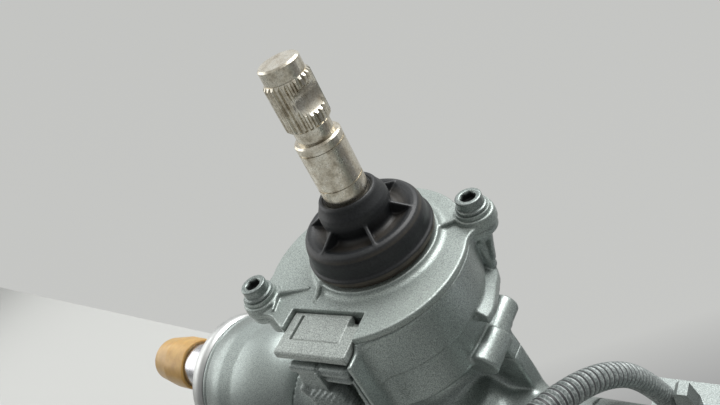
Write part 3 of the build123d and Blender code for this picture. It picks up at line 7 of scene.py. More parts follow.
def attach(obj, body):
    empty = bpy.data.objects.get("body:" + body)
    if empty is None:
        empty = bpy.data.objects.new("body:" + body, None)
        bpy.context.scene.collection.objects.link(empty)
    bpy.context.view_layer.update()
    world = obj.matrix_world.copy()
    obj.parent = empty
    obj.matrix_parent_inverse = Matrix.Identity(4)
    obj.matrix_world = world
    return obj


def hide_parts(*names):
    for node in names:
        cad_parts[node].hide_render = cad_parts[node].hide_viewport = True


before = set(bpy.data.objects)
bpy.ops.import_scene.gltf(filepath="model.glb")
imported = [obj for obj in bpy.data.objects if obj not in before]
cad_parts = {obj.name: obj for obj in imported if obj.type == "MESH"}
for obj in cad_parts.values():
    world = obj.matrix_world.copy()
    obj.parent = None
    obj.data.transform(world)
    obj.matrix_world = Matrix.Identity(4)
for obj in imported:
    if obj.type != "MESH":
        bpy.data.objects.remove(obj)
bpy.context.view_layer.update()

# ---- Main casting -------------------------------------------------------------------------------
# The housing is one aluminium casting: barrel, bore for the bar, pinion tower with its sensor
# bowl, mounting bosses and the flange of the gear case. It is sand-rough where it isn't machined,
# and sprayed all over with a granular grey-green metallic paint, apart from the land at its mouth.

UPPER_BOLT = np.array([40.0, 28.0, 43.0])       # the part's origin, in mm from the bar's axis
TOWER_LEAN = radians(6.1)
TOWER_TOP = np.array([9.34, 16.0, 87.4])        # centre of the sensor cover's collar
TOWER_AXES = np.array([[cos(TOWER_LEAN), 0, -sin(TOWER_LEAN)], [0, 1, 0],
                       [sin(TOWER_LEAN), 0, cos(TOWER_LEAN)]])
BOWL_X, BOWL_Y, BOWL_R = -2.7, -5.25, 39.0      # sensor bowl, about the pinion's axis
BOWL_RIM, BOWL_STEP, BOWL_FOOT = -4.7, -23.5, -42.0
EARS = ((32.4, 18.9), (-34.3, -31.3))           # cover screws, about the pinion's axis
PLUG_TURN = radians(6.3)                        # sensor connector, about the pinion's axis
OUTLET = (-3.5, 49.0)                           # its plug's cable outlet, across and in front


def placed(points):
    """Millimetres about the bar's axis at the pinion, less the upper bolt's place, in metres."""
    return (np.asarray(points, float) - UPPER_BOLT) / 1000


def off_tower(points):
    """Each measure along its axis of the tower, added to the centre of the cover's collar."""
    return np.asarray(points, float) @ TOWER_AXES + TOWER_TOP


def merge(a, b, blend):
    """Distance to two bodies together, with a cast fillet: the lesser one, less a parabola."""
    share = np.clip(0.5 + 0.5 * (b - a) / blend, 0, 1)
    return b + (a - b) * share - blend * share * (1 - share)


def carve(a, b, blend):
    """Distance to the first body with the second cut away: the greater of a and minus b."""
    return -merge(-a, b, blend)


def capped(across, along, low, high, edge=0.0):
    """Distance to a body of one outline between two planes, with its rims rounded."""
    over = np.abs(along - (low + high) / 2) - (high - low) / 2 + edge
    out = across + edge
    return np.hypot(np.maximum(out, 0), np.maximum(over, 0)) \
        + np.minimum(np.maximum(out, over), 0) - edge


def rod(a, b, along, centre, radius, low, high, edge=0.0):
    """Distance to a round rod between two planes across its axis."""
    return capped(np.hypot(a - centre[0], b - centre[1]) - radius, along, low, high, edge)


def slab(a, b, c, low, high, edge=0.0):
    """Distance to a box from its low to its high corner, with rounded edges."""
    over = [np.abs(v - (l + h) / 2) - (h - l) / 2 + edge for v, l, h in zip((a, b, c), low, high)]
    outside = np.sqrt(sum(np.maximum(o, 0) ** 2 for o in over))
    return outside + np.minimum(np.maximum.reduce(over), 0) - edge


def outlined(a, b, corners):
    """Distance in a plane to a closed outline: to the nearest side, negative inside it."""
    nearest = np.full(a.shape, np.inf)
    inside = np.zeros(a.shape, bool)
    for (a0, b0), (a1, b1) in zip(corners, corners[1:] + corners[:1]):
        da, db = a1 - a0, b1 - b0
        share = np.clip(((a - a0) * da + (b - b0) * db) / (da * da + db * db), 0, 1)
        nearest = np.minimum(nearest, (a - a0 - share * da) ** 2 + (b - b0 - share * db) ** 2)
        if db:
            inside ^= ((b0 > b) != (b1 > b)) & (a < a0 + (b - b0) * da / db)
    return np.where(inside, -1, 1) * np.sqrt(nearest)


def strut(p, start, end, radius_0, radius_1):
    """Distance to a round-ended strut whose radius runs evenly from one end to the other."""
    start, run = np.array(start), np.array(end) - np.array(start)
    share = np.clip(((p - start) @ run) / (run @ run), 0, 1)
    off = np.linalg.norm(p - start - share[:, None] * run, axis=1)
    return off - (radius_0 + (radius_1 - radius_0) * share)


def skin(distance, low, high, step):
    """Points and four-sided faces of the surface on which a distance is nought.

    The space between two corners is cut into cells. Blocks of cells that the surface can't reach
    are left out. Each cell that it crosses gets the mean of the crossings on its edges as its
    point, each crossed edge becomes a face between the four cells round it, and the points then
    slide along the distance's slope onto the surface.
    """
    low = np.array(low, float)
    block = 6                                   # cells along the side of a block
    blocks = np.ceil((np.array(high) - low) / step / block).astype(int)
    middles = (np.stack(np.meshgrid(*map(np.arange, blocks), indexing="ij"), -1) + 0.5) * block
    far = distance((low + middles * step).reshape(-1, 3)).reshape(blocks)
    near = np.argwhere(np.abs(far) < 0.9 * block * step + step)
    offsets = np.stack(np.meshgrid(*[np.arange(block)] * 3, indexing="ij"), -1).reshape(-1, 3)
    nodes = (near[:, None] * block + offsets).reshape(-1, 3)
    field = np.repeat(np.repeat(np.repeat(far, block, 0), block, 1), block, 2)
    field[tuple(nodes.T)] = distance(low + nodes * step)
    size = np.array(field.shape)
    crossings, cells = [], []
    for axis in range(3):
        ahead = np.roll(np.eye(3, dtype=int), axis, 1)
        first = np.moveaxis(field, axis, 0)[:-1]
        second = np.moveaxis(field, axis, 0)[1:]
        found = np.argwhere((first < 0) != (second < 0))
        before = first[tuple(found.T)]
        share = before / (before - second[tuple(found.T)])
        spot = np.empty_like(found)
        spot[:, axis] = found[:, 0]
        spot[:, [k for k in range(3) if k != axis]] = found[:, 1:]
        crossings.append(spot + share[:, None] * ahead[0])
        u, w = ahead[1], ahead[2]
        ring = np.stack([spot - u - w, spot - w, spot, spot - u], 1)
        cells.append(np.where((before < 0)[:, None, None], ring, ring[:, ::-1]))
    crossings = np.repeat(np.concatenate(crossings), 4, 0)
    cells = np.concatenate(cells).reshape(-1, 3)
    _, owner = np.unique(np.ravel_multi_index(cells.T, size), return_inverse=True)
    owner = owner.reshape(-1)
    count = np.bincount(owner)
    points = np.stack([np.bincount(owner, crossings[:, k]) / count for k in range(3)], 1)
    points = low + points * step
    nudge = 0.2 * step
    for _ in range(2):
        height = distance(points)
        slope = np.stack([distance(points + nudge * axis) - distance(points - nudge * axis)
                          for axis in np.eye(3)], 1) / (2 * nudge)
        move = height / np.maximum((slope ** 2).sum(1), 0.25)
        points = points - slope * np.clip(move, -step / 2, step / 2)[:, None]
    return points, owner.reshape(-1, 4)


def piece(name, points, faces, material, body, slot, *nodes):
    """A mesh with its place in its points, given in mm, that stands for the named solids."""
    mesh = bpy.data.meshes.new(name)
    faces = faces if isinstance(faces, list) else faces.tolist()
    mesh.from_pydata(placed(points).tolist(), [], faces)
    mesh.materials.append(material)
    mesh.shade_smooth()
    made = bpy.data.objects.new(name, mesh)
    bpy.context.scene.collection.objects.link(made)
    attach(made, body)
    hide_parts(*nodes)
    return made


def tunnel(x, off_axis):
    """Distance to the outside of the casting round the bar: shoulder, waist, tube and flange."""
    shoulder = capped(off_axis - 33.6, x, -160, -63, 2)
    waist = capped(off_axis - 23.0, x, -66, 35, 3)
    tube = capped(off_axis - 18.0, x, 0, 254, 0)
    cone = outlined(x, off_axis, [(222, 0), (222, 18), (248, 31), (248, 44), (256, 44), (256, 0)])
    return merge(merge(merge(shoulder, waist, 12), tube, 10), cone, 9)


def on_tower(p):
    """Each point's measures from the cover's collar, along the three axes of the tower."""
    return ((p - TOWER_TOP) @ TOWER_AXES.T).T


def at_plug(tx, ty):
    """Places across (u) and in front of (v) the sensor connector, from those on the tower.

    The axes are turned and the second is reversed, so the same sum also leads back.
    """
    return (tx * cos(PLUG_TURN) + ty * sin(PLUG_TURN), tx * sin(PLUG_TURN) - ty * cos(PLUG_TURN))


def slanted(p, start, end, outward, wide, thick, edge):
    """Distance to a straight bar of oblong section, one of whose flat sides faces outward."""
    start, run = np.array(start), np.array(end) - np.array(start)
    length = np.linalg.norm(run)
    along = run / length
    flat = np.array(outward) - along * (np.array(outward) @ along)
    flat /= np.linalg.norm(flat)
    a, b, c = (p - start) @ along, (p - start) @ np.cross(along, flat), (p - start) @ flat
    return slab(a, b, c, (0, -wide / 2, -thick), (length, wide / 2, thick / 2), edge)


LEDGE_R, LEDGE_FALL = 41, 4.9                   # radius for its length, and drop in each radian


def tower(p):
    """Distance to the pinion tower: neck, stepped bowl, ears, ledge, ridge and connector pad."""
    tx, ty, tz = on_tower(p)
    bowl = rod(tx, ty, tz, (BOWL_X, BOWL_Y), BOWL_R, BOWL_STEP, BOWL_RIM, 0.35)
    lower = rod(tx, ty, tz, (BOWL_X, BOWL_Y), BOWL_R - 0.8, BOWL_FOOT, BOWL_STEP + 2, 2.5)
    neck = rod(tx, ty, tz, (0, 0), 26.0, -126.4, BOWL_FOOT + 3, 1)
    body = merge(merge(neck, lower, 14), bowl, 0.4)
    for (x, y), foot, low in zip(EARS, (3.4, 4.7), (-13.5, -17.0)):
        body = merge(body, rod(tx, ty, tz, (x, y), 7.0, BOWL_RIM - 3.8, BOWL_RIM, 1.2), 4)
        body = merge(body, rod(tx, ty, tz, (x * 0.97, y * 0.97), foot, low, BOWL_RIM, 1.2), 1.0)
    r, turn = np.hypot(tx - BOWL_X, ty - BOWL_Y), np.arctan2(ty - BOWL_Y, tx - BOWL_X)
    drop = tz + LEDGE_FALL * turn
    ledge = slab(r, turn * LEDGE_R, drop, (36, -2, -28.5), (43.0, 25.5, -21.0), 0.3)
    ledge = np.maximum(ledge, (r - 38.3) * 0.57 + (drop + 22.2) * 0.82)
    ledge = np.maximum(ledge, (tx - 32.9) * 0.956 + (ty - 18.8) * 0.295 - 1.2)
    ridge = strut(on_tower(p).T, (28.8, 17.6, -6.0), (31.2, 18.2, -26.0), 2.4, 2.6)
    body = merge(merge(body, ledge, 0.5), ridge, 0.5)
    u, v = at_plug(tx, ty)                      # the connector's pad, its web, pocket and hole
    body = merge(body, slab(u, v, tz, (-18.6, 20, -42), (10.2, 37, -6), 1), 2)
    body = merge(body, slab(u, v, tz, (8.8, 20, -42), (10.3, 49.8, -6), 0.5), 4)
    body = carve(body, slab(u, v, tz, (-21.0, 30.6, -32), (8.9, 70, 3)), 0.4)
    return carve(body, rod(u, v, tz, OUTLET, 7.2, -70, -31), 0.8)


UPPER_AT, LOWER_AT, FAR_AT = (40.0, 43.0), (40.0, -38.0), (236.0, 30.0)   # mounting bolts' x and z


def bosses(p, body):
    """Distance to a body with the web plate, the two near bosses, the lug and the yoke's bore."""
    x, y, z = p.T
    edge = (x - 47.9 + 0.0018 * (z - 4) ** 2) * 0.98
    plate = np.maximum.reduce([8 - x, edge, z - 44.5, -10 - z])
    body = merge(body, capped(plate, y, 10.5, 17.5, 0.6), 4)
    front = y + 0.17 * (z - 37.2)               # the upper boss's front leans forward
    boss = rod(x, z, front, (40.9, 42.8), 6.2, 0.5, 15.0, 0.5)
    boss = carve(boss, rod(x, z, front, (39.4, 49.6), 1.5, 0, 16.0), 0.8)
    boss = merge(boss, rod(x, z, y, UPPER_AT, 5.4, 10.0, 20.7, 0.5), 0.5)
    boss = merge(boss, rod(x, z, y, UPPER_AT, 5.15, 18.0, 28.0, 0.4), 0.4)
    body = merge(body, boss, 1.0)
    lug = off_tower([[35.0, 20.2, -7.0], [33.2, 17.9, -23.0]])
    outward = off_tower([[1.0, 0.1, 0]])[0] - TOWER_TOP
    body = merge(body, slanted(p, lug[0], lug[1], outward, 2.2, 2.4, 0.3), 0.4)
    body = merge(body, rod(x, z, y, (0, 0), 20.9, -48.0, 0, 1.5), 7)
    body = merge(body, slab(x, y, z, (30, 4, -38), (50, 10, 0), 1.5), 6)
    body = merge(body, rod(x, z, y, LOWER_AT, 9.6, -6.0, 28.0, 1.5), 3)
    for at, radius in ((UPPER_AT, 3.4), (LOWER_AT, 4.25)):
        body = carve(body, rod(x, z, y, at, radius, 6, 40), 0.6)
    return carve(body, rod(x, z, y, (0, 0), 15.95, -60, -39.2), 0.5)


MOTOR_Y, MOTOR_Z = 52.0, -60.0                  # motor's axis, from the bar's
TO_MOTOR = np.array([MOTOR_Y, MOTOR_Z]) / hypot(MOTOR_Y, MOTOR_Z)


def belt_hull(y, z, r_nut, r_motor):
    """Distance to the outline drawn tight round the bar's and the motor's circles."""
    reach = hypot(MOTOR_Y, MOTOR_Z)
    aside = np.abs(y * TO_MOTOR[1] - z * TO_MOTOR[0])
    along = y * TO_MOTOR[0] + z * TO_MOTOR[1]
    lean = (r_nut - r_motor) / reach
    level = np.sqrt(1 - lean ** 2)
    turn = along * level - aside * lean
    nut = np.hypot(aside, along) - r_nut
    motor = np.hypot(aside, along - reach) - r_motor
    side = aside * level + along * lean - r_nut
    return np.where(turn < 0, nut, np.where(turn > level * reach, motor, side))


def lugs(radius_nut, radius_motor, turns_nut, turns_motor):
    """Bolt places round the bar and the motor, by angles off the line between the two."""
    aim = np.arctan2(MOTOR_Z, MOTOR_Y)
    at = [(radius_nut * cos(aim + radians(t)), radius_nut * sin(aim + radians(t)))
          for t in turns_nut]
    return at + [(MOTOR_Y + radius_motor * cos(aim + radians(t)),
                  MOTOR_Z + radius_motor * sin(aim + radians(t))) for t in turns_motor]


CASE_BOLTS = lugs(48.0, 39.0, (82, 150, 210, 278), (50, -50))
MOTOR_BOLTS = lugs(0, 47.0, (), (0, 105, 255))
HEAD_START, TUBE_CUT = -62.0, 70.0              # where the barrel ends and the tail begins
TOWER_CUT = -50.0                               # between the fine and the coarse mesh


def casting_head(p):
    """Distance to the casting from the barrel's shoulder to the tube beyond the tower."""
    x, y, z = p.T
    body = merge(tunnel(x, np.hypot(y, z)), tower(p), 9)
    body = bosses(p, body)
    return np.maximum(body, np.maximum(HEAD_START - x, x - TUBE_CUT))


def casting_bowl(p):
    """Distance to what of the casting's head is above the cut across the tower."""
    return np.maximum(casting_head(p), TOWER_CUT - on_tower(p)[2])


def casting_neck(p):
    """Distance to what of the casting's head is below the cut across the tower."""
    return np.maximum(casting_head(p), on_tower(p)[2] - TOWER_CUT)


def casting_tail(p):
    """Distance to the casting's tube, far boss and gear-case flange."""
    x, y, z = p.T
    body = tunnel(x, np.hypot(y, z))
    body = merge(body, slab(x, y, z, (226, 6, 0), (246, 12, 30), 1.5), 6)
    body = merge(body, rod(x, z, y, FAR_AT, 9.6, 2.0, 28.0, 1.5), 3)
    body = merge(body, capped(belt_hull(y, z, 44.0, 41.0), x, 248, 256, 0.8), 4)
    for at in CASE_BOLTS + MOTOR_BOLTS:
        body = merge(body, rod(y, z, x, at, 7.0, 248, 256, 0.8), 3)
    body = carve(body, rod(x, z, y, FAR_AT, 4.25, 6, 40), 0.6)
    return np.maximum(body, TUBE_CUT - x)


def add(tree, kind, settings=None, **inputs):
    """A shader node with its settings, and its inputs set to a value or fed from a socket."""
    node = tree.nodes.new("ShaderNode" + kind)
    for key, value in (settings or {}).items():
        setattr(node, key, value)
    for key, value in inputs.items():
        socket = node.inputs[key.replace("_", " ")]
        if isinstance(value, bpy.types.NodeSocket):
            tree.links.new(value, socket)
        else:
            socket.default_value = value
    return node


def finish_of(name, roughness, metallic=0.0, **more):
    """A new material with the values that are the same all over it on its own sockets."""
    material = bpy.data.materials.new(name)
    material.use_nodes = True
    tree = material.node_tree
    shader = tree.nodes["Principled BSDF"]
    shader.inputs["Roughness"].default_value = roughness
    shader.inputs["Metallic"].default_value = metallic
    for key, value in more.items():
        shader.inputs[key.replace("_", " ")].default_value = value
    return material, tree, shader


def shades(tree, factor, *stops):
    """Colours along a factor: pairs of its value and a colour there."""
    node = tree.nodes.new("ShaderNodeValToRGB")
    ramp = node.color_ramp
    while len(ramp.elements) < len(stops):
        ramp.elements.new(0.5)
    for element, (at, colour) in zip(ramp.elements, stops):
        element.position = at
        element.color = (*colour, 1)
    tree.links.new(factor, node.inputs["Fac"])
    return node.outputs["Color"]


def times(colour, share):
    """Each channel of a colour times a share, and no more than one."""
    return tuple(min(1.0, c * share) for c in colour)


def grain(tree, size, detail, roughness=0.6, stretch=(1, 1, 1)):
    """Even noise with features of a size in metres, drawn out along an axis by a stretch."""
    place = add(tree, "TexCoord").outputs["Object"]
    if stretch != (1, 1, 1):
        place = add(tree, "Mapping", Vector=place, Scale=stretch).outputs["Vector"]
    noise = add(tree, "TexNoise", Vector=place, Scale=1 / size, Detail=detail,
                Roughness=roughness)
    return noise.outputs["Fac"]


def product(tree, first, second):
    """Two colours multiplied, channel by channel."""
    mixed = add(tree, "Mix", {"data_type": "RGBA", "blend_type": "MULTIPLY"})
    mixed.inputs[0].default_value = 1
    tree.links.new(first, mixed.inputs[6])
    tree.links.new(second, mixed.inputs[7])
    return mixed.outputs[2]


def dulled(tree, shader, factor, low, high):
    """Roughness that runs evenly from low to high while a factor goes from 0.3 to 0.7."""
    share = add(tree, "MapRange", Value=factor, From_Min=0.3, From_Max=0.7,
                To_Min=low, To_Max=high)
    tree.links.new(share.outputs[0], shader.inputs["Roughness"])


def coated(tree, shader, colour, height, strength, depth):
    """The shader takes a colour, and bumps of a height from 0 to 1 times a depth in metres."""
    tree.links.new(colour, shader.inputs["Base Color"])
    bump = add(tree, "Bump", Height=height, Strength=strength, Distance=depth)
    tree.links.new(bump.outputs["Normal"], shader.inputs["Normal"])


def granular_paint(name, colour, roughness=0.38, metallic=0.8, depth=0.00014, size=0.00042):
    """Sprayed metallic paint: grains in three tones, each a little bump, over slow drifts."""
    material, tree, shader = finish_of(name, roughness, metallic)
    fine = grain(tree, size, 3.0, 0.7)
    slow = grain(tree, 0.03, 2.0)
    tone = shades(tree, fine, (0.34, times(colour, 0.6)), (0.5, colour),
                  (0.66, times(colour, 1.5)))
    drift = shades(tree, slow, (0.3, (0.88,) * 3), (0.7, (1.0, 1.0, 1.0)))
    dulled(tree, shader, fine, roughness + 0.14, roughness - 0.1)
    coated(tree, shader, product(tree, tone, drift), fine, 0.4, depth)
    return material


cast_paint = granular_paint("cast_paint", (0.34, 0.38, 0.365))
for name, distance, low, high, step in (
        ("casting_bowl", casting_bowl, (-46, -54, 22), (60, 56, 92), 0.6),
        ("casting_neck", casting_neck, (-66, -54, -54), (74, 56, 50), 1.0),
        ("casting_tail", casting_tail, (66, -60, -118), (262, 106, 60), 1.3)):
    points, faces = skin(distance, low, high, step)
    piece(name, points, faces, cast_paint, "housing", "cast_paint", "rack_housing")


def arcs(corners, rounds, steps=6):
    """An outline with some corners rounded: each arc touches both sides and is cut into steps."""
    made = []
    for k, corner in enumerate(corners):
        radius = rounds.get(k, 0)
        here = np.array(corner, float)
        if not radius:
            made.append(here[None])
            continue
        back = np.array(corners[k - 1]) - here
        on = np.array(corners[(k + 1) % len(corners)]) - here
        back, on = back / np.linalg.norm(back), on / np.linalg.norm(on)
        half = np.arccos(np.clip(back @ on, -1, 1)) / 2
        centre = here + (back + on) / np.linalg.norm(back + on) * radius / sin(half)
        start = here + back * radius / np.tan(half) - centre
        end = here + on * radius / np.tan(half) - centre
        sweep = np.arctan2(start[0] * end[1] - start[1] * end[0], start @ end)
        t = np.linspace(0, sweep, steps)[:, None]
        made.append(centre + start * np.cos(t) + np.array([-start[1], start[0]]) * np.sin(t))
    return np.concatenate(made)


def turned(outline, count=96):
    """Surface turned about the bar's axis from a closed outline of (along, radius) points.

    Each outline point becomes a circle: along stays x, and the radius goes round in y and z.
    The sign of the outline's area says which way it runs, so that the faces look outwards.
    """
    along, radius = outline.T
    angle = np.arange(count) * 2 * pi / count
    points = np.stack([np.repeat(along[:, None], count, 1), np.outer(radius, np.cos(angle)),
                       np.outer(radius, np.sin(angle))], -1)
    ids = np.arange(len(outline) * count).reshape(-1, count)
    on, round_ = np.roll(ids, -1, 0), np.roll(ids, -1, 1)
    faces = np.stack([ids, on, np.roll(on, -1, 1), round_], -1).reshape(-1, 4)
    area = np.sum(along * np.roll(radius, -1) - np.roll(along, -1) * radius)
    return points.reshape(-1, 3), faces if area > 0 else faces[:, ::-1]


BARREL_MOUTH, BARREL_LAND = -133.7, 8.8         # its open end, and the machined length there
land_end = BARREL_MOUTH + BARREL_LAND
shell = [(HEAD_START, 16.5), (HEAD_START, 33.4), (-102, 33.4), (-110, 35.3),
         (land_end + 4.4, 35.3), (land_end + 4.1, 34.9), (land_end + 3.5, 34.9),
         (land_end + 3.2, 35.3), (land_end + 1.2, 35.3), (land_end + 1.2, 34.8), (land_end, 34.8),
         (land_end, 31), (-97, 31), (-97, 19), (-79, 19), (-79, 16.5)]
points, faces = turned(arcs(shell, {2: 9.0, 3: 9.0, 8: 0.4}))
piece("barrel", points, faces, cast_paint, "housing", "cast_paint", "rack_housing")

# ---- Machined mouth of the barrel ---------------------------------------------------------------
# The land for the gaiter and the bores behind it are turned in the casting after it is painted,
# so they are bare aluminium with the fine rings that the tool leaves, dulled by handling.


def bare_metal(name, colour, roughness, rings=(2500, 1, 1), metallic=1.0):
    """Bare metal: fine rings or grain drawn out along it, and slow clouds of dulling."""
    material, tree, shader = finish_of(name, roughness, metallic)
    lines = grain(tree, 1.0, 2.0, 0.5, rings)
    clouds = grain(tree, 0.012, 3.0, 0.6)
    tone = shades(tree, lines, (0.3, times(colour, 0.82)), (0.7, times(colour, 1.12)))
    dulled(tree, shader, clouds, roughness - 0.06, roughness + 0.12)
    coated(tree, shader, tone, lines, 0.25, 0.00008)
    return material


BARREL_R, RIM_CHAMFER = 35.5, 0.7
liner = [(HEAD_START, 15.2), (HEAD_START, 16.5), (-79, 16.5), (-79, 19), (-97, 19), (-97, 31),
         (land_end, 31), (land_end, BARREL_R), (BARREL_MOUTH + RIM_CHAMFER, BARREL_R),
         (BARREL_MOUTH, BARREL_R - RIM_CHAMFER), (BARREL_MOUTH, 29.8), (BARREL_MOUTH + 0.8, 29),
         (-99.7, 29), (-99.7, 17.0), (-81.7, 17.0), (-81.7, 15.2)]
points, faces = turned(np.array(liner, float))
turned_alu = bare_metal("turned_alu", (0.6, 0.61, 0.6), 0.42)
piece("barrel_land", points, faces, turned_alu, "housing", "cast_paint", "rack_housing")

# ---- Rack bar -----------------------------------------------------------------------------------
# Hardened steel bar, ground bright all along, with its teeth cut across the back. Its tapped ends
# are closed for transport by soft tan plastic caps that are pushed on by hand.


def dress(material, *nodes):
    """Solids whose shape is already right take their finish."""
    for node in nodes:
        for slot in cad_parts[node].material_slots:
            slot.material = material


dress(bare_metal("ground_steel", (0.55, 0.55, 0.57), 0.22, (1800, 40, 40)), "rack_bar")


def cap_plastic():
    """Translucent polyethylene: an even tan, cloudy from inside, with a waxy gloss."""
    material, tree, shader = finish_of("cap_plastic", 0.38, 0, Subsurface_Weight=0.25,
                                       Subsurface_Scale=0.003)
    shader.inputs["Subsurface Radius"].default_value = (1.0, 0.55, 0.25)
    clouds = grain(tree, 0.006, 3.0)
    tone = shades(tree, clouds, (0.3, (0.40, 0.23, 0.065)), (0.7, (0.52, 0.32, 0.10)))
    coated(tree, shader, tone, clouds, 0.2, 0.0004)
    return material


RIGHT_MOUTH, BAR_OUT = 428.0, 71.3              # the bar stands out alike at both mouths
CAP_BORE, CAP_DENT = 14.05, 0.06
CAP = [(-27.0, CAP_BORE), (-27.0, 16.2), (-8.0, 16.4), (8.5, 13.6), (14.0, 9.5), (16.0, 4.5),
       (16.0, 0.01), (0.2, 0.01), (0.2, CAP_BORE)]      # from the bar's end outwards, and radius
cap_tan = cap_plastic()
for side, end, out in (("left", BARREL_MOUTH - BAR_OUT, -1), ("right", RIGHT_MOUTH + BAR_OUT, 1)):
    corners = [(end + out * ahead, radius) for ahead, radius in CAP]
    points, faces = turned(arcs(corners, {1: 0.6, 2: 9.0, 3: 5.0, 4: 2.0, 5: 1.5}), 64)
    x, turn = points[:, 0], np.arctan2(points[:, 2], points[:, 1])
    dent = 0.35 * np.sin(5 * turn + 0.3 * x) + 0.25 * np.sin(3 * turn - 0.5 * x)
    outer = np.hypot(points[:, 1], points[:, 2]) > CAP_BORE + 0.01
    points[:, 1:] *= 1 - CAP_DENT * np.maximum(dent + 0.3, 0)[:, None] * outer[:, None]
    piece(side + "_cap", points, faces, cap_tan, "rack", "cap_plastic", side + "_bar_cap")

# ---- Bushes and end stops -----------------------------------------------------------------------
# A slit plastic bush carries the bar at each end of the housing, and a rubber ring before it
# takes the blow of the tie rod's joint at full lock.


def moulded(name, colour, roughness=0.5):
    """Moulded plastic or rubber: fine spark-eroded texture in two close tones."""
    material, tree, shader = finish_of(name, roughness)
    fine = grain(tree, 0.0012, 3.0, 0.65)
    tone = shades(tree, fine, (0.3, times(colour, 0.88)), (0.7, times(colour, 1.12)))
    coated(tree, shader, tone, fine, 0.35, 0.00005)
    return material


dress(moulded("bush_plastic", (0.72, 0.69, 0.6)), "left_bar_bush", "right_bar_bush")
dress(moulded("stop_rubber", (0.03, 0.03, 0.03), 0.7), "left_end_stop", "right_end_stop")

# ---- Yoke ---------------------------------------------------------------------------------------
# An aluminium slipper lined with a low-friction strip is pushed against the bar, opposite the
# pinion, by two spring washers under a screwed plug. A rubber ring damps its rattle.

yoke_alu = bare_metal("yoke_alu", (0.58, 0.58, 0.59), 0.35, (60, 2200, 60))
dress(yoke_alu, "yoke", "yoke_plug")
dress(moulded("liner_ptfe", (0.22, 0.25, 0.2), 0.45), "yoke_liner")
seal_rubber = moulded("seal_rubber", (0.05, 0.035, 0.028), 0.6)
dress(seal_rubber, "yoke_o_ring")
spring_steel = bare_metal("spring_steel", (0.2, 0.2, 0.21), 0.4, (900, 900, 900))
dress(spring_steel, "yoke_springs")

# ---- Pinion and its bearings --------------------------------------------------------------------
# Hobbed steel pinion held by a ball bearing above its teeth and a needle bearing below, with a
# ring nut over the ball bearing. The tower's foot is closed by a screwed aluminium cap.

gear_steel = bare_metal("gear_steel", (0.4, 0.4, 0.42), 0.3, (1500, 1500, 300))
dress(gear_steel, "pinion_shaft", "bearing_retainer_ring")
bearing_steel = bare_metal("bearing_steel", (0.66, 0.66, 0.68), 0.14, (400, 400, 400))
dress(bearing_steel, "pinion_bearing_inner_race", "pinion_bearing_outer_race",
      "pinion_bearing_balls", "pinion_needle_bearing", "torsion_pin")
zinc = bare_metal("screw_zinc", (0.5, 0.51, 0.5), 0.36, (700, 700, 700))
dress(zinc, "pinion_nut")
dress(yoke_alu, "pinion_end_cap")

# ---- Input shaft and torsion bar ----------------------------------------------------------------
# Turned steel shaft that takes the steering column on a coarse spline, with a saddle across it
# for the pinch bolt. The torsion bar inside it is pinned at the top and twists with the driver's
# effort.


def stained_steel():
    """Turned steel with a thin film of old oil: brown and grey stains, duller where dark."""
    material, tree, shader = finish_of("shaft_steel", 0.34, 1.0)
    cloud = grain(tree, 0.0035, 5.0, 0.68)
    fine = grain(tree, 0.0005, 3.0, 0.6)
    tone = shades(tree, cloud, (0.30, (0.38, 0.33, 0.25)), (0.48, (0.65, 0.60, 0.50)),
                  (0.66, (0.80, 0.77, 0.68)))
    speckle = shades(tree, fine, (0.33, (0.7,) * 3), (0.55, (1.0, 1.0, 1.0)))
    dulled(tree, shader, cloud, 0.38, 0.22)
    coated(tree, shader, product(tree, tone, speckle), fine, 0.25, 0.00006)
    return material


dress(stained_steel(), "input_shaft")
dress(spring_steel, "torsion_bar")

# ---- Torque sensor ------------------------------------------------------------------------------
# A magnet ring on the input shaft turns inside a claw ring on the pinion, and the moulded carrier
# that fills the bowl reads the difference. Its header comes out through the side of the bowl.

dress(moulded("magnet", (0.13, 0.13, 0.14), 0.55), "magnet_ring")
lamination = bare_metal("lamination", (0.28, 0.29, 0.31), 0.42, (2500, 60, 60))
dress(lamination, "sensor_stator")
sensor_plastic = moulded("sensor_plastic", (0.035, 0.035, 0.038), 0.55)
dress(sensor_plastic, "torque_sensor")


def header(p):
    """Distance to the header: flat tray with a raised panel, over the block with the socket."""
    tx, ty, tz = p.T
    u, v = at_plug(tx, ty)
    tray = slab(u, v, tz, (-20.6, 31.0, -6.6), (8.4, 48.4, -3.7), 0.35)
    tray = np.maximum(tray, (v - 48.4 + tz + 4.5) * 0.71)
    tray = np.minimum(tray, slab(u, v, tz, (-15.7, 32.3, -5.0), (3.5, 42.4, -3.4), 0.15))
    tray = np.minimum(tray, slab(u, v, tz, (7.4, 35.6, -5.0), (8.4, 48.0, -3.3), 0.3))
    tray = carve(tray, slab(u, v, tz, (-17.2, 32.3, -7.5), (-15.7, 42.4, 0)), 0.2)
    tray = carve(tray, slab(u, v, tz, (3.5, 29.0, -7.5), (8.2, 35.4, 0)), 0.2)
    block = slab(u, v, tz, (-18.1, 32.0, -30.0), (6.9, 38.0, -6.5), 0.5)
    block = carve(block, slab(u, v, tz, (-15.6, 34.5, -22.0), (4.4, 42.0, -12.0), 0.2), 0.3)
    return merge(tray, block, 0.4)


plug_paint = granular_paint("plug_paint", (0.34, 0.37, 0.35), 0.5, 0.3, 0.0001, 0.00045)
points, faces = skin(header, (-28, -54, -34), (16, -24, 0), 0.35)
piece("header", off_tower(points), faces, plug_paint, "housing", "plug_plastic",
      "sensor_connector")

# ---- Sensor cover -------------------------------------------------------------------------------
# Cast aluminium lid of the sensor bowl with a raised collar for the boot, an ear for each screw
# and a notch for the header. It carries the shaft's seal and needle bearing, and is painted in
# place.


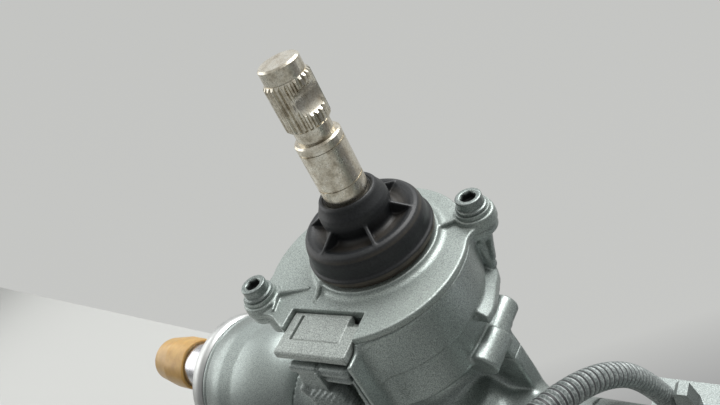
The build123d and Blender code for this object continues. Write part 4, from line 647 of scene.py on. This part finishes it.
def lid(p):
    """Distance to the cover: flat plate, collar, swept ears and thin ribs, less its holes."""
    tx, ty, tz = p.T
    plan = np.hypot(tx - BOWL_X, ty - BOWL_Y) - BOWL_R
    for x, y in EARS:
        plan = merge(plan, np.hypot(tx - x, ty - y) - 7.4, 7)
    body = capped(plan, tz, BOWL_RIM, -2.0, 0.6)
    collar = rod(tx, ty, tz, (0, 0), 24.4, BOWL_RIM, 0.0, 0.3)
    body = merge(body, collar, 3.2)
    for x, y in EARS:
        body = merge(body, rod(tx, ty, tz, (x, y), 7.4, BOWL_RIM, 0.0, 0.7), 0.9)
    for start, end, radius in (((26.8, 14.4, -1.0), (22.0, 10.5, -1.0), 1.1),
                               ((-28.6, -28.0, -1.4), (-17.0, -23.6, -2.0), 1.5),
                               ((-28.9, -27.4, -0.9), (-25.5, -35.5, -1.4), 1.0),
                               ((-11.5, -22.0, -1.0), (-10.6, -28.5, -2.2), 1.4)):
        body = merge(body, strut(p, start, end, radius, radius * 0.6), 0.5)
    body = np.maximum(body, np.maximum(BOWL_RIM - tz, tz))
    u, v = at_plug(tx, ty)
    body = carve(body, slab(u, v, tz, (-21.1, 30.8, -20), (8.9, 70, 9)), 0.4)
    body = carve(body, rod(tx, ty, tz, (0, 0), 14.0, -20, 9), 0.3)
    for x, y in EARS:
        body = carve(body, rod(tx, ty, tz, (x, y), 3.3, -20, 9), 0.3)
    return body


cover_paint = granular_paint("cover_paint", (0.33, 0.37, 0.35), 0.4, 0.55)
points, faces = skin(lid, (-46, -50, -9), (46, 38, 5), 0.45)
piece("cover", off_tower(points), faces, cover_paint, "housing", "cast_cover", "sensor_cover")
dress(bearing_steel, "shaft_needle_bearing")
dress(seal_rubber, "shaft_seal")

# ---- Cover screws and washers -------------------------------------------------------------------
# Two M6 socket screws on thick plain washers clamp the lid. They are zinc plated and sprayed over
# with the cover; the inside of each socket is coloured near black as painted shade.

dress(cover_paint, "cover_washers")
WASHER, HEAD_TOP = 1.52, 6.4                    # heights over the ear
SHADE_BELOW, SHADE_WITHIN = 5.3, 2.95               # painted shade in the socket: faces below this height and within this radius


def screw(p):
    """Distance to a socket screw: flanged head with a chamfered six-sided socket, and shank."""
    tx, ty, tz = p.T
    head = rod(tx, ty, tz, (0, 0), 4.8, WASHER, HEAD_TOP, 0.5)
    head = merge(head, rod(tx, ty, tz, (0, 0), 5.7, WASHER, 2.7, 0.4), 0.4)
    angles = np.radians([10, 70, 130])
    flats = np.abs(tx[:, None] * np.cos(angles) + ty[:, None] * np.sin(angles)).max(1) - 2.5
    socket = np.maximum(flats, 3.2 - tz)
    mouth = (np.hypot(tx, ty) - 3.1 + (HEAD_TOP - tz) * 0.9) * 0.74
    return np.minimum(carve(head, np.minimum(socket, mouth), 0.2),
                      rod(tx, ty, tz, (0, 0), 2.9, -4.0, 3.0))


def screw_paint():
    """The cover's paint, thinly over zinc: grains in three tones, each a little bump."""
    material, tree, shader = finish_of("screw_paint", 0.38, 0.7)
    fine = grain(tree, 0.00045, 3.0, 0.65)
    tone = shades(tree, fine, (0.32, (0.13, 0.15, 0.145)), (0.5, (0.22, 0.25, 0.24)),
                  (0.68, (0.36, 0.40, 0.38)))
    coated(tree, shader, tone, fine, 0.35, 0.0001)
    return material


points, faces = skin(screw, (-6.5, -6.5, -5.5), (6.5, 6.5, 8.5), 0.3)
both = np.concatenate([points + (*ear, 0) for ear in EARS])
screws = piece("screws", off_tower(both), np.concatenate([faces, faces + len(points)]),
               screw_paint(), "housing", "screw_zinc", "cover_screws")
screws.data.materials.append(moulded("socket_shade", (0.012, 0.014, 0.014), 0.6))
# faces deep in each socket take the near-black painted shade
x, y, z = points[faces].mean(1).T
deep = (np.hypot(x, y) < SHADE_WITHIN) & (z > 0) & (z < SHADE_BELOW)
screws.data.polygons.foreach_set("material_index", np.tile(deep, 2).astype(int))

# ---- Dust boot ----------------------------------------------------------------------------------
# Moulded black rubber boot pressed onto the collar, stiffened by six ribs, with a wiper lip on
# the shaft. Dust and dried grease sit on the shelf at its foot.

BOOT = [(8.3, 23.7), (9.1, 23.9), (9.5, 24.7), (10.1, 24.8), (10.7, 24.1), (11.2, 22.9),
        (11.8, 21.8), (12.5, 20.6), (12.9, 19.0), (12.9, 16.9), (12.5, 15.2), (12.1, 13.6),
        (12.1, 12.6), (12.7, 11.8), (14.0, 11.3), (16.0, 11.5), (17.8, 12.2), (19.2, 12.9),
        (20.3, 13.0), (21.3, 12.5), (22.0, 11.5), (22.5, 10.0), (22.8, 8.2), (22.9, 6.2),
        (23.2, 4.9), (24.1, 4.1), (24.1, 2.6), (23.6, 2.2), (22.4, 2.2), (22.4, 0.0),
        (20.6, 0.0), (20.6, 8.5), (18.0, 9.0), (13.0, 8.2), (9.8, 8.4), (9.4, 21.5),
        (8.3, 21.8)]                            # radius and height of its section, from the lip
RIBS, FIRST_RIB = 6, radians(17.0)
DUST_SPAN = 0.02                                # metres over the collar that the dust is told by


def boot(p):
    """Distance to the boot: its section turned round the shaft, and upright ribs in its well."""
    tx, ty, tz = p.T
    r = np.hypot(tx, ty)
    body = outlined(r, tz, BOOT) - 0.15
    rib = outlined(r, tz, [(10.5, 9.5), (19.0, 11.0), (21.0, 12.3), (20.0, 13.2), (12.2, 17.4),
                           (10.5, 17.4)])
    turn = np.arctan2(ty, tx) - FIRST_RIB
    step = 2 * pi / RIBS
    aside = r * np.abs(np.sin(turn - np.round(turn / step) * step))
    return merge(body, capped(rib, aside, -0.6, 0.6, 0.2), 0.6)


def boot_rubber():
    """Black satin rubber, with brown dust by height: thick on the foot, thin on the crest."""
    material, tree, shader = finish_of("boot_rubber", 0.46, 0, Specular_IOR_Level=0.4)
    fine = grain(tree, 0.0007, 3.0, 0.6)
    height = add(tree, "Mapping", {"vector_type": "POINT"},
                 Vector=add(tree, "TexCoord").outputs["Object"])
    height.inputs["Location"].default_value = tuple(-placed(TOWER_TOP))
    axis = add(tree, "VectorMath", {"operation": "DOT_PRODUCT"}, Vector=height.outputs["Vector"])
    axis.inputs[1].default_value = tuple(TOWER_AXES[2])
    rise = add(tree, "MapRange", Value=axis.outputs["Value"], From_Min=0,
               From_Max=DUST_SPAN)
    shelf = shades(tree, rise.outputs[0], (0.0, (1.0,) * 3), (0.18, (1.0,) * 3), (0.21, (0,) * 3),
                   (0.54, (0,) * 3), (0.565, (0.5,) * 3), (0.60, (0.2,) * 3), (0.63, (0,) * 3))
    patchy = add(tree, "Math", {"operation": "MULTIPLY"})
    tree.links.new(shelf, patchy.inputs[0])
    tree.links.new(grain(tree, 0.004, 3.0), patchy.inputs[1])
    rubber = shades(tree, fine, (0.3, (0.009, 0.010, 0.011)), (0.7, (0.022, 0.024, 0.026)))
    mixed = add(tree, "Mix", {"data_type": "RGBA"})
    tree.links.new(patchy.outputs[0], mixed.inputs[0])
    tree.links.new(rubber, mixed.inputs[6])
    mixed.inputs[7].default_value = (0.13, 0.105, 0.075, 1)
    coated(tree, shader, mixed.outputs[2], fine, 0.3, 0.00008)
    return material


points, faces = skin(boot, (-27, -27, -2), (27, 27, 28), 0.42)
piece("boot", off_tower(points), faces, boot_rubber(), "housing", "boot_rubber", "dust_boot")

# ---- Ball nut, belt and gear case ---------------------------------------------------------------
# The nut turns on the bar's ball track in a deep ball bearing and is driven by a toothed rubber
# belt. The case round it is an aluminium casting, closed by a cover that carries the right barrel.

dress(gear_steel, "ball_nut", "nut_bearing_carrier")
dress(bearing_steel, "nut_bearing_inner_race", "nut_bearing_outer_race", "nut_bearing_balls")
dress(lamination, "nut_pulley", "motor_pulley")
dress(moulded("belt_rubber", (0.03, 0.03, 0.033), 0.6), "drive_belt")
case_paint = granular_paint("case_paint", (0.26, 0.29, 0.28), 0.45, 0.55)
dress(case_paint, "gear_case", "case_cover")
dress(zinc, "case_bolts", "motor_bolts")

# ---- Motor --------------------------------------------------------------------------------------
# Brushless motor in a drawn steel can, black from its electrocoat, with wound copper coils in a
# stack of laminations round the rotor. Its shaft carries the small pulley.

dress(bare_metal("motor_can", (0.045, 0.045, 0.05), 0.4, (900, 200, 200), 0.2), "motor_housing")
dress(bearing_steel, "motor_front_bearing", "motor_rear_bearing")
dress(lamination, "motor_stator", "motor_rotor")
dress(bare_metal("copper", (0.62, 0.28, 0.14), 0.3, (2500, 300, 300)), "motor_windings")

# ---- Control unit -------------------------------------------------------------------------------
# Die-cast aluminium box on the rear of the motor with a finned lid, round the circuit board that
# drives the motor. The sensor's harness plugs into a header on its side.

dress(granular_paint("ecu_alu", (0.47, 0.48, 0.49), 0.48, 0.8, 0.00015), "ecu_housing",
      "ecu_cover")
dress(moulded("board", (0.02, 0.13, 0.05), 0.35), "ecu_board")
dress(sensor_plastic, "ecu_header")

# ---- Sensor harness -----------------------------------------------------------------------------
# Short loom between the sensor and the control unit in corrugated plastic conduit, with a moulded
# plug at each end. It was fitted before the spray, so conduit and plugs are dusted with its paint.


def plug(p):
    """Distance to the sensor's plug: split ledge, sloping tongue, side rail and ribbed outlet."""
    tx, ty, tz = p.T
    u, v = at_plug(tx, ty)
    q = np.stack([u, v, tz], 1)
    body = slab(u, v, tz, (-17.0, 38.1, -25.0), (6.6, 44.6, -13.0), 0.8)
    body = merge(body, slab(u, v, tz, (-17.2, 46.2, -12.8), (-5.2, 49.6, -9.2), 1.3), 0.4)
    body = merge(body, strut(q, (-3.0, 47.9, -11.2), (5.2, 47.9, -11.2), 2.0, 2.0), 0.3)
    body = merge(body, strut(q, (-2.6, 48.4, -14.4), (5.4, 48.4, -14.4), 1.4, 1.4), 0.3)
    tongue = outlined(v, tz, [(43, -12.5), (49.2, -12.0), (51.6, -24), (51.6, -27), (43, -27)])
    body = merge(body, capped(tongue, u, -14.6, -4.2, 0.6), 0.5)
    body = merge(body, slab(u, v, tz, (-5.2, 45, -21.0), (-4.0, 50.8, -9.6), 0.3), 0.3)
    body = merge(body, slab(u, v, tz, (7.2, 42, -40), (8.2, 49.6, -13.5), 0.3), 0.3)
    body = merge(body, slab(u, v, tz, (6.0, 42, -40), (8.0, 44.0, -13.5), 0.3), 0.3)
    outlet = rod(u, v, tz, OUTLET, 5.6, -35.0, -24.0, 1.2)
    outlet = merge(outlet, slab(u, v, tz, (-13.0, 45.5, -29.0), (1.0, 53.2, -19.0), 3.0), 1.5)
    outlet = outlet - 0.35 * np.cos(tz * 2 * pi / 1.9) * np.cos(u * 2 * pi / 2.4)
    body = merge(body, outlet, 0.5)
    body = merge(body, strut(q, (-14.5, 50.6, -19.5), (-13.0, 51.0, -21.0), 1.6, 1.6), 0.4)
    body = merge(body, slab(u, v, tz, (-15.6, 35.3, -22), (4.4, 39, -12), 0.3), 0.3)
    return carve(body, rod(u, v, tz, OUTLET, 4.55, -40, -29), 0.3)


# The plugs' paint is a darker copy of the casting's: painted shade for the recess under the
# header's tray.
shaded_plug_paint = granular_paint("shaded_plug_paint", (0.26, 0.29, 0.28), 0.4, 0.5, 0.00008, 0.00042)
points, faces = skin(plug, (-24, -60, -42), (16, -28, -5), 0.4)
piece("sensor_plug", off_tower(points), faces, shaded_plug_paint, "housing", "plug_plastic",
      "harness_plug")
dress(shaded_plug_paint, "ecu_plug")

outlet_xy = at_plug(*OUTLET)
route = [off_tower((*outlet_xy, -29.0)), off_tower((*outlet_xy, -53.0)), (21.5, -47.5, 27.0),
         (44.0, -46.0, 34.0), (60.0, -34.0, 46.0), (68.5, -13.0, 44.5), (74.0, 14.0, 26.5),
         (78.0, 33.0, 0.0), (76.5, 49.5, -43.0)]
line = bpy.data.curves.new("conduit_line", "CURVE")
line.dimensions = "3D"
spline = line.splines.new("NURBS")
spline.points.add(len(route) - 1)
for control, place in zip(spline.points, placed(route)):
    control.co = (*place, 1)
spline.order_u = 3
spline.use_endpoint_u = True
spline.resolution_u = 48
line_object = bpy.data.objects.new("conduit_line", line)
drawn = bpy.data.meshes.new_from_object(line_object)
centre = np.empty(3 * len(drawn.vertices))
drawn.vertices.foreach_get("co", centre)
centre = centre.reshape(-1, 3) * 1000 + UPPER_BOLT
bpy.data.objects.remove(line_object)
bpy.data.meshes.remove(drawn)
CONDUIT_R, CONDUIT_PITCH, CONDUIT_GROOVE = 4.5, 3.0, 1.1
CONDUIT_STEPS, CONDUIT_SIDES = 12, 32           # rings in each pitch, and faces round each ring


def corrugated(centre):
    """Tube along a line whose radius dips by a raised cosine to the fourth in every pitch."""
    run = np.concatenate([[0], np.cumsum(np.linalg.norm(np.diff(centre, axis=0), axis=1))])
    keep = np.concatenate([[True], np.diff(run) > 1e-6])
    run, centre = run[keep], centre[keep]
    at = np.linspace(0, run[-1], int(run[-1] / CONDUIT_PITCH) * CONDUIT_STEPS + 1)
    path = np.stack([np.interp(at, run, centre[:, k]) for k in range(3)], 1)
    ahead = np.gradient(path, axis=0)
    ahead /= np.linalg.norm(ahead, axis=1)[:, None]
    across = np.cross(ahead, (0.5, -0.7, 0.5))
    across /= np.linalg.norm(across, axis=1)[:, None]
    up = np.cross(ahead, across)
    groove = (0.5 - 0.5 * np.cos(2 * pi * at / CONDUIT_PITCH)) ** 4
    radius = CONDUIT_R - CONDUIT_GROOVE * groove
    angle = np.arange(CONDUIT_SIDES) * 2 * pi / CONDUIT_SIDES
    rings = (path[:, None] + radius[:, None, None]
             * (across[:, None] * np.cos(angle)[:, None] + up[:, None] * np.sin(angle)[:, None]))
    ids = np.arange(len(at) * CONDUIT_SIDES).reshape(-1, CONDUIT_SIDES)
    beside = np.roll(ids, -1, 1)
    quads = np.stack([ids[:-1], beside[:-1], beside[1:], ids[1:]], -1).reshape(-1, 4)
    ends = [ids[0][::-1].tolist(), ids[-1].tolist()]
    return rings.reshape(-1, 3), quads.tolist() + ends, path


def conduit_plastic():
    """A dusting of paint over dark plastic: grains in three tones, each a little bump."""
    material, tree, shader = finish_of("conduit_plastic", 0.45, 0.25)
    fine = grain(tree, 0.0008, 3.0, 0.7)
    tone = shades(tree, fine, (0.34, (0.13, 0.145, 0.145)), (0.5, (0.24, 0.265, 0.26)),
                  (0.66, (0.40, 0.43, 0.42)))
    coated(tree, shader, tone, fine, 0.4, 0.00015)
    return material


points, faces, path = corrugated(centre)
conduit = piece("harness_conduit", points, faces, conduit_plastic(), "housing", "harness_plastic",
                "conduit")
# The bottoms of the grooves take a near-black painted shade, so that the corrugation shows.
conduit.data.materials.append(moulded("conduit_groove_shade", (0.025, 0.027, 0.028), 0.5))
ring = np.arange(len(faces)) // CONDUIT_SIDES % CONDUIT_STEPS
groove_shade = (ring >= 4) & (ring <= 7)           # painted shade in the bottom of each groove
conduit.data.polygons.foreach_set("material_index", groove_shade.astype(int))
path = placed(path)

# ---- Floor, lamps and camera --------------------------------------------------------------------
# A pale table top under the rack, which is held by its mounting bolts a little above it, in front
# of an even grey wall. A wide soft lamp hangs overhead, and a window is on the left.

world = bpy.data.worlds.new("tent")
bpy.context.scene.world = world
world.use_nodes = True
tent = world.node_tree
room = add(tent, "VectorMath", {"operation": "DOT_PRODUCT"},
           Vector=add(tent, "TexCoord").outputs["Generated"])
BRIGHT_WAY = (-0.38, 0.68, 0.63)                # from the dark foot of the room to its bright top
room.inputs[1].default_value = BRIGHT_WAY
height = add(tent, "MapRange", Value=room.outputs["Value"], From_Min=-1, From_Max=1)
walls = shades(tent, height.outputs[0], (0.0, (0.05, 0.05, 0.052)),
               (0.44, (0.27, 0.273, 0.277)), (0.52, (0.57, 0.575, 0.56)),
               (0.86, (0.55, 0.555, 0.54)), (0.96, (0.85, 0.86, 0.86)))
tent.links.new(walls, tent.nodes["Background"].inputs["Color"])
tent.nodes["Background"].inputs["Strength"].default_value = 1.0

FLOOR_Z, FLOOR_REACH = -0.176, 30
FAR_LEFT, FAR_RIGHT = 1.31, -1.19               # y of the table's far edge at its two ends
table = [(-FLOOR_REACH, -FLOOR_REACH), (FLOOR_REACH, -FLOOR_REACH), (FLOOR_REACH, FAR_RIGHT),
         (-FLOOR_REACH, FAR_LEFT)]
floor_mesh = bpy.data.meshes.new("floor")
floor_mesh.from_pydata([(x, y, FLOOR_Z) for x, y in table], [], [(0, 1, 2, 3)])
floor = bpy.data.objects.new("floor", floor_mesh)
bpy.context.scene.collection.objects.link(floor)
floor_card, _, shader = finish_of("floor_card", 0.8)
shader.inputs["Base Color"].default_value = (0.50, 0.505, 0.49, 1)
floor.data.materials.append(floor_card)


def area_lamp(name, place, aim, size, power):
    """A round lamp of a width in metres and a power in watts, turned to face its aim."""
    data = bpy.data.lights.new(name, "AREA")
    data.shape = "DISK"
    data.size = size
    data.energy = power
    lamp = bpy.data.objects.new(name, data)
    bpy.context.scene.collection.objects.link(lamp)
    lamp.location = place
    lamp.rotation_euler = (Vector(aim) - Vector(place)).to_track_quat("-Z", "Y").to_euler()


TOWER_SPOT = (-0.03, -0.01, 0.04)
area_lamp("overhead", (0.2, 0.6, 0.85), TOWER_SPOT, 0.85, 14)
area_lamp("left_window", (-0.95, -0.15, 0.5), TOWER_SPOT, 1.0, 4)

camera = bpy.data.objects.new("camera", bpy.data.cameras.new("camera"))
bpy.context.scene.collection.objects.link(camera)
bpy.context.scene.camera = camera
EYE = (0.1101, -0.1301, 0.1551)
look = np.array([-0.671, 0.585, -0.455])
look /= np.linalg.norm(look)
side = np.array([0.739, 0.475, -0.479])         # what is level in the picture
side -= look * (side @ look)
side /= np.linalg.norm(side)
above = np.cross(side, look)
rows = [[side[k], above[k], -look[k], EYE[k]] for k in range(3)]
camera.matrix_world = Matrix(rows + [[0, 0, 0, 1]])
camera.data.sensor_width = 36
camera.data.lens = 29.29
camera.data.clip_start = 0.01
bpy.context.scene.view_settings.view_transform = "Standard"
